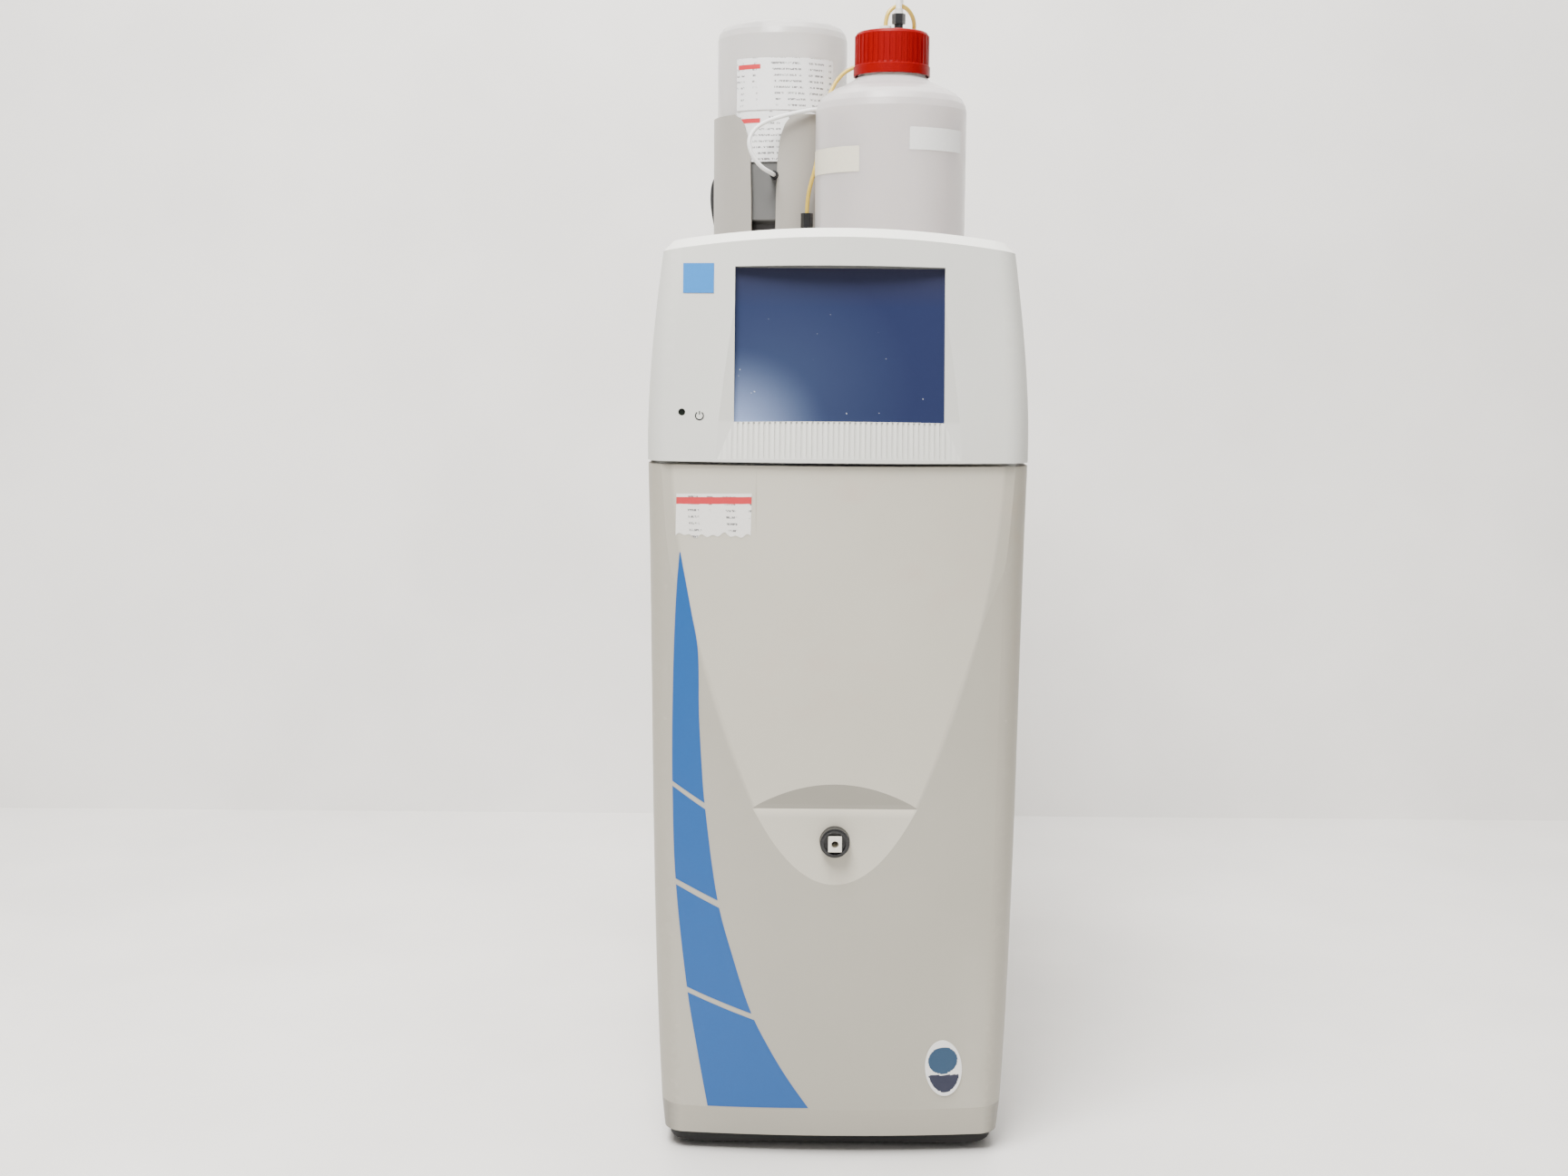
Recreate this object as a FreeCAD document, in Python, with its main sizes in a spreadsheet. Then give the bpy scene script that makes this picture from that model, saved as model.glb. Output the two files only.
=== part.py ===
import FreeCAD, Part
import math
import os
import Sketcher

# Benchtop ion chromatograph: a tall cabinet with a swinging front door, a display hood that
# tilts, a reservoir tray on top with an eluent bottle and a generator cartridge, and the pump,
# valve, columns and detector behind the door. Millimetres, +Z up, the door faces -Y.
# The origin is on the table, under the middle of the cabinet.

V = FreeCAD.Vector
doc = FreeCAD.newDocument("ion_chromatograph")

SIZES = {
    # Cabinet
    "case_depth": 533.0,
    "case_width": 214.0,
    "sheet": 1.2,
    "flange": 11.0,
    "foot_height": 5.0,
    "foot_radius": 10.0,
    "foot_inset": 26.0,
    "base_width": 200.0,
    "base_rise": 6.0,
    "base_corner": 18.0,
    "base_toe": 50.0,
    "panel_low": 14.0,
    "deck_height": 512.0,
    "tray_sink": 31.0,
    "tray_wall": 3.0,
    "tray_start": 46.0,
    "bay_depth": 44.0,
    "bay_low": 24.0,
    # Door
    "door_depth": 62.5,
    "door_gap": 8.0,
    "door_low": 12.0,
    "lip_rise": 20.0,
    "lip_tuck": 9.0,
    "seam_height": 424.0,
    "seam_gap": 2.0,
    "shell": 3.0,
    "top_width": 225.4,
    "mid_taper": 5.0,
    "low_taper": 9.8,
    "lip_taper": 16.4,
    "foot_taper": 19.4,
    "lip_bow": 9.0,
    "low_bow": 14.0,
    "mid_bow": 16.5,
    "lip_set": 2.0,
    "low_height": 110.0,
    "mid_height": 230.0,
    "door_corner": 18.0,
    "facet_height": 171.0,
    "facet_radius": 450.0,
    "facet_lean": 0.6,
    "hinge_in": 1.5,
    "hinge_back": 4.0,
    "hinge_low": 120.0,
    "hinge_high": 352.0,
    "hinge_length": 30.0,
    "hinge_pin": 1.5,
    "hinge_wall": 1.2,
    "hinge_leaf": 20.0,
    "running": 0.05,
    "ease": 0.3,
    # Scoop and port in the door
    "scoop_top": 238.6,
    "scoop_fold": 219.3,
    "scoop_low": 173.0,
    "scoop_depth": 3.2,
    "scoop_width": 112.0,
    "port_seat": 2.6,
    "port_x": 0.0,
    "port_z": 200.0,
    "port_radius": 8.8,
    "luer_radius": 2.2,
    # Hood
    "hood_top": 561.0,
    "hood_drop": 8.0,
    "crown_band": 5.5,
    "hood_lean": 9.3,
    "hood_taper": 0.2,
    "hood_high_taper": 5.4,
    "hood_end_taper": 18.4,
    "hood_depth": 96.5,
    "hood_step": 516.0,
    "tilt_drop": 26.0,
    "tilt_back": 86.5,
    "ear_x": 85.0,
    "ear_thick": 3.0,
    "tilt_pin": 2.5,
    "screen_width": 122.8,
    "screen_height": 91.0,
    "screen_mid": 494.0,
    "screen_sink": 4.2,
    "surround_sink": 5.5,
    "boss_width": 150.0,
    "ramp_drop": 22.0,
    "ramp_width": 124.0,
    "apron_lean": 3.2,
    "rib_pitch": 3.1,
    "rib_groove": 1.2,
    "rib_depth": 0.6,
    "lamp_x": -92.0,
    "lamp_z": 453.5,
    "lamp_back": 15.6,
    # Bottle and cartridge
    "bottle_x": 44.6,
    "bottle_y": 69.0,
    "bottle_radius": 55.8,
    "bottle_wall": 1.8,
    "shoulder": 183.0,
    "neck_radius": 25.0,
    "bottle_height": 230.4,
    "cap_radius": 26.9,
    "cap_height": 31.5,
    "cap_skirt": 7.5,
    "cartridge_x": -36.5,
    "cartridge_y": 151.0,
    "cartridge_radius": 50.4,
    "cartridge_top": 740.0,
    "cartridge_join": 631.0,
    "holder_radius": 53.4,
    "holder_wall": 2.2,
    "holder_top": 667.0,
    "slot_width": 17.0,
    "slot_turn": -15.0,
    "union_x": -17.0,
    "union_y": 90.0,
    "tube_radius": 1.6,
    "gas_radius": 2.2,
    "cable_radius": 2.3,
    # Working parts
    "pump_z": 108.0,
    "pump_left": -66.0,
    "pump_pitch": 50.0,
    "head_radius": 19.0,
    "head_length": 26.0,
    "valve_x": -14.0,
    "valve_z": 206.0,
    "valve_radius": 21.0,
    "heater_left": 36.0,
    "heater_width": 58.0,
    "heater_low": 146.0,
    "heater_height": 262.0,
    "heater_depth": 22.0,
    "column_x": 56.0,
    "guard_x": 80.0,
    "column_radius": 5.5,
    "fan_x": -45.0,
    "fan_z": 330.0,
    "fan_size": 80.0,
    "fan_depth": 25.0,
    "inlet_x": -60.0,
    "inlet_z": 66.0,
}

# Sizes that follow from the ones above: the door and the hood keep their tapers, worked out in tenths,
# and the hood keeps its pivot at a fixed distance under its top.
DERIVED = {
    "mid_width": "=(10 * top_width - 10 * mid_taper) / 10",
    "low_width": "=(10 * top_width - 10 * low_taper) / 10",
    "lip_width": "=(10 * top_width - 10 * lip_taper) / 10",
    "foot_width": "=(10 * top_width - 10 * foot_taper) / 10",
    "hood_width": "=(10 * top_width - 10 * hood_taper) / 10",
    "hood_high_width": "=(10 * top_width - 10 * hood_high_taper) / 10",
    "hood_end_width": "=(10 * top_width - 10 * hood_end_taper) / 10",
    "tilt_height": "=hood_top - tilt_drop",
}

sheet = doc.addObject("Spreadsheet::Sheet", "Size")
for row, (alias, number) in enumerate({**SIZES, **DERIVED}.items(), start=1):
    sheet.set(f"A{row}", alias)
    sheet.set(f"B{row}", str(number))
    sheet.setAlias(f"B{row}", alias)
doc.recompute()


def value(text):
    """The number that a size expression gives."""
    return float(sheet.evalExpression(text))


# Lines and planes that many pieces share, as expressions of the sheet's sizes.
FRONT = "(-Size.case_depth / 2)"
REAR = "(Size.case_depth / 2)"
HALF = "(Size.case_width / 2)"
INSIDE = f"({HALF} - Size.sheet)"
DOOR_BACK = f"({FRONT} + Size.door_depth)"
CASE_FRONT = f"({DOOR_BACK} + Size.door_gap)"
BAY_BACK = f"({CASE_FRONT} + Size.bay_depth)"
DOOR_TOP = "(Size.seam_height - Size.seam_gap / 2)"
HOOD_LOW = "(Size.seam_height + Size.seam_gap / 2)"
HOOD_BACK = f"({FRONT} + Size.hood_depth)"
TILT_Y = f"({FRONT} + Size.tilt_back)"
TRAY_FLOOR = "(Size.deck_height - Size.tray_sink)"
TRAY_FRONT = f"({CASE_FRONT} + Size.tray_start)"
PANEL_TOP = "(Size.deck_height - Size.tray_wall)"
BASE_TOP = "(Size.foot_height - 1 + Size.base_rise)"
PANEL_BACK = f"({REAR} - 3.3)"
HINGE_X = f"(-{HALF} + Size.hinge_in)"
HINGE_Y = f"({DOOR_BACK} + Size.hinge_back)"
KNUCKLE = "(Size.hinge_pin + Size.hinge_wall)"
LINER_BACK = f"({DOOR_BACK} - 1.5)"
CAP_LOW = f"({TRAY_FLOOR} + Size.bottle_height + 10 - Size.cap_height)"
CAP_TOP = f"({TRAY_FLOOR} + Size.bottle_height + 10)"
NECK_TOP = f"({TRAY_FLOOR} + Size.bottle_height)"

TURNS = {
    "x": FreeCAD.Rotation(V(0, 1, 0), 90),
    "y": FreeCAD.Rotation(V(1, 0, 0), -90),
    "z": FreeCAD.Rotation(),
}
SIDEWAYS = {"XY": "XY_Plane", "XZ": "XZ_Plane", "YZ": "YZ_Plane"}


def bind(item, sizes):
    """Tie properties of an object to size expressions."""
    for name, text in sizes.items():
        item.setExpression(name, text)
    return item


def put(item, spot):
    """Bind an object's place to three expressions."""
    return bind(item, {f"Placement.Base.{axis}": text for axis, text in zip("xyz", spot)})


def box(label, low, size):
    """A block from its low corner and its three sizes."""
    item = doc.addObject("Part::Box", label)
    bind(item, {"Length": size[0], "Width": size[1], "Height": size[2]})
    return put(item, low)


def rod(label, start, radius, length, axis="z"):
    """A round bar that starts at a point and runs along an axis."""
    item = doc.addObject("Part::Cylinder", label)
    item.Placement = FreeCAD.Placement(V(), TURNS[axis])
    bind(item, {"Radius": radius, "Height": length})
    return put(item, start)


def hexagon(label, start, radius, length, axis="z"):
    """A hexagonal bar, such as a nut, with its corners at the radius."""
    item = doc.addObject("Part::Prism", label)
    item.Placement = FreeCAD.Placement(V(), TURNS[axis])
    item.Polygon = 6
    bind(item, {"Circumradius": radius, "Height": length})
    return put(item, start)


def fuse(label, *shapes):
    """Several shapes joined into one."""
    item = doc.addObject("Part::MultiFuse", label)
    item.Shapes = list(shapes)
    return item


def cut(label, base, *tools):
    """A shape with one or more tools taken out of it."""
    item = doc.addObject("Part::Cut", label)
    item.Base = base
    item.Tool = tools[0] if len(tools) == 1 else fuse(f"{label}_tools", *tools)
    return item


def common(label, base, tool):
    """What two shapes share."""
    item = doc.addObject("Part::Common", label)
    item.Base = base
    item.Tool = tool
    return item


def group(label, *shapes):
    """Separate solids kept side by side in one sub-part."""
    item = doc.addObject("Part::Compound", label)
    item.Links = list(shapes)
    return item


def soften(label, base, radius, wanted, kind="Part::Fillet"):
    """A shape with the edges that a test picks rounded, or bevelled flat."""
    doc.recompute()
    item = doc.addObject(kind, label)
    item.Base = base
    size = value(radius)
    item.Edges = [(i, size, size) for i, edge in enumerate(base.Shape.Edges, start=1) if wanted(edge)]
    return item


def upright(edge):
    """Whether an edge runs along Z."""
    box_of = edge.BoundBox
    return box_of.XLength < 0.01 and box_of.YLength < 0.01


def plane_sketch(body, label, plane, offset):
    """An empty sketch on one of a body's own origin planes, moved along its normal."""
    planes = {feature.Role: feature for feature in body.Origin.OriginFeatures}
    sketch = body.newObject("Sketcher::SketchObject", label)
    sketch.AttachmentSupport = [(planes[SIDEWAYS[plane]], "")]
    sketch.MapMode = "FlatFace"
    sketch.setExpression("AttachmentOffset.Base.z", offset)
    return sketch


def pin_coordinate(sketch, edge, end, axis, text):
    """Hold one coordinate of a sketch point at a size expression."""
    number = value(text)
    if abs(number) < 1e-9:
        line = -2 if axis == "X" else -1
        sketch.addConstraint(Sketcher.Constraint("PointOnObject", edge, end, line))
        return
    index = sketch.addConstraint(Sketcher.Constraint(f"Distance{axis}", -1, 1, edge, end, number))
    sketch.setExpression(f"Constraints[{index}]", text)


def outline(sketch, points):
    """A closed run of straight lines through points given as pairs of expressions."""
    spots = [V(value(across), value(up), 0) for across, up in points]
    count = len(points)
    for i, spot in enumerate(spots):
        sketch.addGeometry(Part.LineSegment(spot, spots[(i + 1) % count]), False)
    for i, (across, up) in enumerate(points):
        sketch.addConstraint(Sketcher.Constraint("Coincident", i, 2, (i + 1) % count, 1))
        pin_coordinate(sketch, i, 1, "X", across)
        pin_coordinate(sketch, i, 1, "Y", up)


def turned(label, spot, points):
    """A revolved body from a half profile of radius and height, standing at a point."""
    body = doc.addObject("PartDesign::Body", label)
    sketch = plane_sketch(body, f"{label}_profile", "XZ", "0")
    outline(sketch, points)
    turn = body.newObject("PartDesign::Revolution", f"{label}_turn")
    turn.Profile = sketch
    turn.ReferenceAxis = (sketch, ["V_Axis"])
    turn.Angle = 360
    put(body, spot)
    return body


def padded(label, plane, offset, points, length):
    """A body padded from a straight-sided outline."""
    body = doc.addObject("PartDesign::Body", label)
    sketch = plane_sketch(body, f"{label}_outline", plane, offset)
    outline(sketch, points)
    pad = body.newObject("PartDesign::Pad", f"{label}_pad")
    pad.Profile = sketch
    pad.setExpression("Length", length)
    return body


def plan_section(body, label, height, half, crown, bow, corner, back):
    """A level section of the fascia: a bowed front, round corners, straight sides and back."""
    sketch = plane_sketch(body, label, "XY", height)
    w, y0, sag, r, yb = (value(text) for text in (half, crown, bow, corner, back))
    radius = (w * w + sag * sag) / (2 * sag)
    middle = y0 + radius
    turn_y = middle - math.sqrt((radius - r) ** 2 - (w - r) ** 2)
    lean = V(w - r, turn_y - middle, 0) / (radius - r)
    meet = V(0, middle, 0) + lean * radius

    def halfway(centre, start, end, size):
        """The point of an arc midway between its two ends."""
        middle_way = (start - centre) + (end - centre)
        return centre + middle_way * (size / middle_way.Length)

    side = V(w, turn_y, 0)
    corner_mid = halfway(V(w - r, turn_y, 0), side, meet, r)
    flip = lambda spot: V(-spot.x, spot.y, 0)
    rear = V(w, yb, 0)
    run = [flip(rear), rear, side, meet, flip(meet), flip(side)]
    sketch.addGeometry([
        Part.LineSegment(run[0], run[1]),
        Part.LineSegment(run[1], run[2]),
        Part.Arc(run[2], corner_mid, run[3]),
        Part.Arc(run[3], V(0, y0, 0), run[4]),
        Part.Arc(run[4], flip(corner_mid), run[5]),
        Part.LineSegment(run[5], run[0]),
    ], False)
    ends = []
    for i, spot in enumerate(run):
        first = sketch.getPoint(i, 1)
        ends.append((1, 2) if (V(first.x, first.y, 0) - spot).Length < 1e-6 else (2, 1))
    for i in range(6):
        j = (i + 1) % 6
        kind = "Tangent" if i in (1, 2, 3, 4) else "Coincident"
        sketch.addConstraint(Sketcher.Constraint(kind, i, ends[i][1], j, ends[j][0]))
    sketch.addConstraint(Sketcher.Constraint("Horizontal", 0))
    sketch.addConstraint(Sketcher.Constraint("Vertical", 1))
    sketch.addConstraint(Sketcher.Constraint("Vertical", 5))
    sketch.addConstraint(Sketcher.Constraint("PointOnObject", 3, 3, -2))
    bow_radius = f"(({half})^2 + ({bow})^2) / (2 * ({bow}))"
    pin_coordinate(sketch, 0, ends[0][1], "X", half)
    pin_coordinate(sketch, 0, ends[0][0], "X", f"-({half})")
    pin_coordinate(sketch, 0, ends[0][0], "Y", back)
    pin_coordinate(sketch, 3, 3, "Y", f"({crown}) + {bow_radius}")
    for edge, text in ((3, bow_radius), (2, corner), (4, corner)):
        index = sketch.addConstraint(Sketcher.Constraint("Radius", edge, value(text)))
        sketch.setExpression(f"Constraints[{index}]", text)
    return sketch


def lofted(body, label, sections):
    """Add a loft through plan sections to a body."""
    loft = body.newObject("PartDesign::AdditiveLoft", label)
    loft.Profile = sections[0]
    loft.Sections = sections[1:]
    return loft


def base_pan():
    """Dark moulded base: a rounded toe under the door and a rim that carries the side panels."""
    half = "Size.base_width / 2"
    toe = f"{CASE_FRONT} - Size.base_toe"
    body = doc.addObject("PartDesign::Body", "base_pan_body")
    sketch = plane_sketch(body, "base_pan_outline", "XY", "Size.foot_height - 1")
    outline(sketch, [(f"-{half}", toe), (half, toe), (half, f"{REAR} - 6"), (f"-{half}", f"{REAR} - 6")])
    pad = body.newObject("PartDesign::Pad", "base_pan_pad")
    pad.Profile = sketch
    pad.setExpression("Length", "Size.base_rise")
    doc.recompute()
    corners = body.newObject("PartDesign::Fillet", "base_pan_corners")
    corners.Base = (pad, [f"Edge{i}" for i, edge in enumerate(pad.Shape.Edges, start=1) if upright(edge)])
    corners.setExpression("Radius", "Size.base_corner")
    rim_half = f"({INSIDE} - Size.ease)"
    rim = box("base_rim", (f"-{rim_half}", f"{CASE_FRONT} + Size.sheet + Size.ease", BASE_TOP),
              (f"2 * {rim_half}", f"{PANEL_BACK} - Size.sheet * 2 - Size.ease * 2 - {CASE_FRONT}",
               f"Size.bay_low - {BASE_TOP}"))
    hollow = box("base_hollow", (f"4 - {rim_half}", f"{BAY_BACK} + 4", f"{BASE_TOP}"),
                 (f"2 * {rim_half} - 8", f"{PANEL_BACK} - {BAY_BACK} - 14", "Size.bay_low"))
    pan = cut("base_hollowed", fuse("base_whole", body, rim), hollow)
    pockets = [rod(f"foot_pocket_{name}", (x, y, "Size.foot_height - 1.1"), "Size.foot_radius + 0.1", "1.1")
               for name, x, y in foot_spots()]
    cut("base_pan", pan, *pockets)


def foot_spots():
    """Name, X and Y of each foot."""
    across = "(Size.base_width / 2 - Size.foot_inset)"
    front = f"({CASE_FRONT} - Size.base_toe + Size.foot_inset)"
    rear = f"({REAR} - 6 - Size.foot_inset)"
    return [("front_left", f"-{across}", front), ("front_right", across, front),
            ("rear_left", f"-{across}", rear), ("rear_right", across, rear)]


def rubber_feet():
    """Four round feet with a slight taper, seated in the base's pockets."""
    feet = []
    for name, x, y in foot_spots():
        feet.append(turned(f"foot_{name}", (x, y, "0"), [
            ("0", "0"), ("Size.foot_radius - 1.5", "0"), ("Size.foot_radius", "1.5"),
            ("Size.foot_radius", "Size.foot_height"), ("0", "Size.foot_height")]))
    group("rubber_feet", *feet)


def side_panel(side):
    """Painted sheet side with flanges turned in at its front, rear and foot, and air slots."""
    name = "right_side_panel" if side > 0 else "left_side_panel"
    wall = padded(f"{name}_wall", "XY", "Size.panel_low", [
        ("0", CASE_FRONT), ("Size.flange", CASE_FRONT), ("Size.flange", f"{CASE_FRONT} + Size.sheet"),
        ("Size.sheet", f"{CASE_FRONT} + Size.sheet"), ("Size.sheet", f"{REAR} - Size.sheet"),
        ("Size.flange", f"{REAR} - Size.sheet"), ("Size.flange", REAR), ("0", REAR)],
        f"{PANEL_TOP} - Size.panel_low")
    slots = [box(f"{name}_slot_{i}", ("-1", f"{REAR} - 150 + {i} * 12", "70"), ("Size.sheet + 2", "5", "56"))
             for i in range(8)]
    slotted = cut(f"{name}_slotted", wall, *slots)
    if side > 0:
        flipped = doc.addObject("Part::Mirroring", name)
        flipped.Source = slotted
        flipped.Normal = V(1, 0, 0)
        put(flipped, (HALF, "0", "0"))
    else:
        put(group(name, slotted), (f"-{HALF}", "0", "0"))


def rear_panel():
    """Rear sheet with the fan opening, the inlet and connector cut-outs and a drain hole."""
    half = f"({INSIDE} - Size.ease)"
    low = (f"-{half}", f"{PANEL_BACK} - Size.sheet", "Size.bay_low - 4")
    plate = box("rear_plate", low, (f"2 * {half}", "Size.sheet",
                                    f"{PANEL_TOP} - Size.ease - Size.bay_low + 4"))
    through = f"{PANEL_BACK} - Size.sheet - 1"
    deep = "Size.sheet + 2"
    openings = [
        rod("fan_opening", ("Size.fan_x", through, "Size.fan_z"), "Size.fan_size / 2 - 3", deep, "y"),
        box("inlet_opening", ("Size.inlet_x - 24", through, "Size.inlet_z - 15"), ("66", deep, "30")),
        box("port_opening", ("40", through, "216"), ("20", deep, "96")),
        rod("drain_opening", ("70", through, "60"), "6", deep, "y"),
    ]
    openings += [box(f"rear_slot_{i}", ("10", through, f"400 + 10 * {i}"), ("70", deep, "4"))
                 for i in range(8)]
    cut("rear_panel", plate, *openings)


def reservoir_tray():
    """Moulded deck that caps the cabinet, with a deep tray for the bottle and the cartridge."""
    body = box("deck_block", (f"-{HALF}", CASE_FRONT, f"{TRAY_FLOOR} - Size.tray_wall"),
               (f"2 * {HALF}", f"{REAR} - {CASE_FRONT}", "Size.tray_sink + Size.tray_wall"))
    under_half = f"({HALF} + 1)"
    skirt = [
        box("deck_trim_left", (f"-{under_half}", f"{CASE_FRONT} - 1", f"{TRAY_FLOOR} - Size.tray_wall - 1"),
            ("Size.sheet + 1 + Size.ease", f"{REAR} - {CASE_FRONT} + 2", "Size.tray_sink + 1")),
        box("deck_trim_right", (f"{INSIDE} - Size.ease", f"{CASE_FRONT} - 1",
                                f"{TRAY_FLOOR} - Size.tray_wall - 1"),
            ("Size.sheet + 1 + Size.ease", f"{REAR} - {CASE_FRONT} + 2", "Size.tray_sink + 1")),
        box("deck_trim_rear", (f"-{under_half}", f"{PANEL_BACK} - Size.sheet - Size.ease",
                               f"{TRAY_FLOOR} - Size.tray_wall - 1"),
            (f"2 * {under_half}", "20", "Size.tray_sink + 1")),
        box("deck_trim_front", (f"-{under_half}", f"{CASE_FRONT} - 1", f"{TRAY_FLOOR} - Size.tray_wall - 1"),
            (f"2 * {under_half}", "Size.tray_start - 2", "Size.tray_sink + 1")),
    ]
    inner = f"({HALF} - Size.tray_wall)"
    recess_block = box("tray_recess_block", (f"-{inner}", TRAY_FRONT, TRAY_FLOOR),
                       (f"2 * {inner}", f"{PANEL_BACK} - Size.sheet - Size.tray_wall - 1 - {TRAY_FRONT}",
                        "Size.tray_sink + 1"))
    recess = soften("tray_recess", recess_block, "Size.tray_wall * 3", upright)
    tray = cut("deck_hollowed", body, *skirt, recess)
    holes = [rod(f"grommet_hole_{name}", (x, y, f"{TRAY_FLOOR} - Size.tray_wall - 1"), "4",
                 "Size.tray_wall + 2")
             for name, x, y in grommet_spots()]
    cut("reservoir_tray", tray, *holes)


def grommet_spots():
    """Name, X and Y of each grommet in the tray's floor."""
    return [("gas", "70", "172"), ("feed", "-14.5", "92"), ("cartridge", "36", "152"),
            ("cable", "-85", "199")]


def tray_grommets():
    """Rubber bushes in the tray's floor that the tubes and the cable go down through."""
    bushes = []
    bores = {"gas": "Size.gas_radius", "feed": "Size.tube_radius", "cartridge": "Size.tube_radius",
             "cable": "Size.cable_radius"}
    for name, x, y in grommet_spots():
        bore = bores[name]
        bushes.append(turned(f"bush_{name}", (x, y, f"{TRAY_FLOOR} - Size.tray_wall"), [
            (bore, "-1"), ("4", "-1"), ("4", "Size.tray_wall"), ("5.2", "Size.tray_wall"),
            ("4.9", "Size.tray_wall + 2"), (bore, "Size.tray_wall + 2")]))
    group("tray_grommets", *bushes)


def component_bay():
    """Folded bay behind the door, open to the front, that the fluid parts are mounted on."""
    half = f"({HALF} - Size.flange - Size.ease)"
    wall = "1.5"
    top = "(Size.seam_height - 2)"
    block = box("bay_block", (f"-{half}", CASE_FRONT, "Size.bay_low"),
                (f"2 * {half}", "Size.bay_depth", f"{PANEL_TOP} - Size.bay_low - Size.tray_sink"))
    hollow = box("bay_hollow", (f"{wall} - {half}", f"{CASE_FRONT} - 1", f"Size.bay_low + {wall}"),
                 (f"2 * ({half} - {wall})", f"Size.bay_depth - {wall} + 1",
                  f"{top} - Size.bay_low - 2 * {wall}"))
    behind = box("bay_behind", (f"-{half} - 1", f"{CASE_FRONT} + {wall}", f"{top}"),
                 (f"2 * {half} + 2", "Size.bay_depth + 1", "Size.deck_height"))
    holes = [
        rod("actuator_opening", ("Size.valve_x", f"{BAY_BACK} - 5", "Size.valve_z"), "8", "10", "y"),
        rod("piston_opening_a", ("Size.pump_left", f"{BAY_BACK} - 5", "Size.pump_z"), "6", "10", "y"),
        rod("piston_opening_b", ("Size.pump_left + Size.pump_pitch", f"{BAY_BACK} - 5", "Size.pump_z"), "6",
            "10", "y"),
    ]
    bay = cut("bay_open", block, hollow, behind, *holes)
    brim = box("bay_brim", (f"-{INSIDE} + Size.ease", f"{CASE_FRONT} + Size.sheet", "Size.bay_low + 2"),
               (f"2 * ({INSIDE} - Size.ease)", wall, f"{PANEL_TOP} - Size.bay_low - Size.tray_sink - 2"))
    window = box("brim_window", (f"{wall} - {half}", f"{CASE_FRONT} - 1", "Size.bay_low"),
                 (f"2 * ({half} - {wall})", "10", f"{top} - Size.bay_low - {wall}"))
    fuse("component_bay", bay, cut("brim_open", brim, window))


def drip_tray():
    """Shallow leak tray on the bay's floor."""
    half = f"({HALF} - Size.flange - 4)"
    block = box("drip_block", (f"-{half}", f"{CASE_FRONT} + 2", "Size.bay_low + 1.5"),
                (f"2 * {half}", "Size.bay_depth - 6", "12"))
    hollow = box("drip_hollow", (f"2 - {half}", f"{CASE_FRONT} + 4", "Size.bay_low + 3.5"),
                 (f"2 * {half} - 4", "Size.bay_depth - 10", "12"))
    cut("drip_tray", block, hollow)


def pump_parts():
    """Drive housing behind the bay, two heads in front of it, and their check valves."""
    face = f"({BAY_BACK} - 1.5)"
    box("pump_housing", ("Size.pump_left - 24", BAY_BACK, "Size.pump_z - 50"),
        ("Size.pump_pitch + 48", "128", "100"))
    for name, x in (("primary", "Size.pump_left"), ("secondary", "(Size.pump_left + Size.pump_pitch)")):
        plate = box(f"{name}_plate", (f"{x} - 21", f"{face} - 9", "Size.pump_z - 21"), ("42", "9", "42"))
        barrel = rod(f"{name}_barrel", (x, f"{face} - Size.head_length", "Size.pump_z"),
                     "Size.head_radius", "Size.head_length", "y")
        bolts = [rod(f"{name}_bolt_{i}", (f"{x} + {across}", f"{face} - 12", f"Size.pump_z + {up}"), "3",
                     "4", "y")
                 for i, (across, up) in enumerate(((-16.5, -16.5), (16.5, -16.5), (16.5, 16.5),
                                                   (-16.5, 16.5)))]
        fuse(f"{name}_pump_head", plate, barrel, *bolts)
    valve_y = f"({face} - Size.head_length + 8)"
    sets = {"inlet_check_valves": "(Size.pump_z - Size.head_radius - 14)",
            "outlet_check_valves": "(Size.pump_z + Size.head_radius)"}
    trimmed = []
    for label, low in sets.items():
        valves = []
        for name, x in (("a", "Size.pump_left"), ("b", "(Size.pump_left + Size.pump_pitch)")):
            body = hexagon(f"{label}_{name}_nut", (x, valve_y, f"{low} + 2"), "7.5", "10")
            stem = rod(f"{label}_{name}_stem", (x, valve_y, low), "4", "14")
            valves.append(fuse(f"{label}_{name}", body, stem))
        trimmed += [cut(f"{label}_{i}", valve, doc.getObject(f"{head}_barrel"))
                    for i, (valve, head) in enumerate(zip(valves, ("primary", "secondary")))]
    group("check_valves", *trimmed)


def valve_knob(label, x, back, z, radius):
    """Knob with a thick rim in front and its stem behind, on a Y axis."""
    stem = rod(f"{label}_stem", (x, f"{back} - 6", z), "3", "6", "y")
    skirt = doc.addObject("Part::Cone", f"{label}_skirt")
    skirt.Placement = FreeCAD.Placement(V(), TURNS["y"])
    bind(skirt, {"Radius1": radius, "Radius2": f"{radius} - 1.5", "Height": "9"})
    put(skirt, (x, f"{back} - 14", z))
    grip = box(f"{label}_bar", (f"{x} - 1.5", f"{back} - 17", f"{z} - {radius} + 1"),
               ("3", "4", f"2 * {radius} - 2"))
    fuse(label, stem, skirt, grip)


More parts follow.
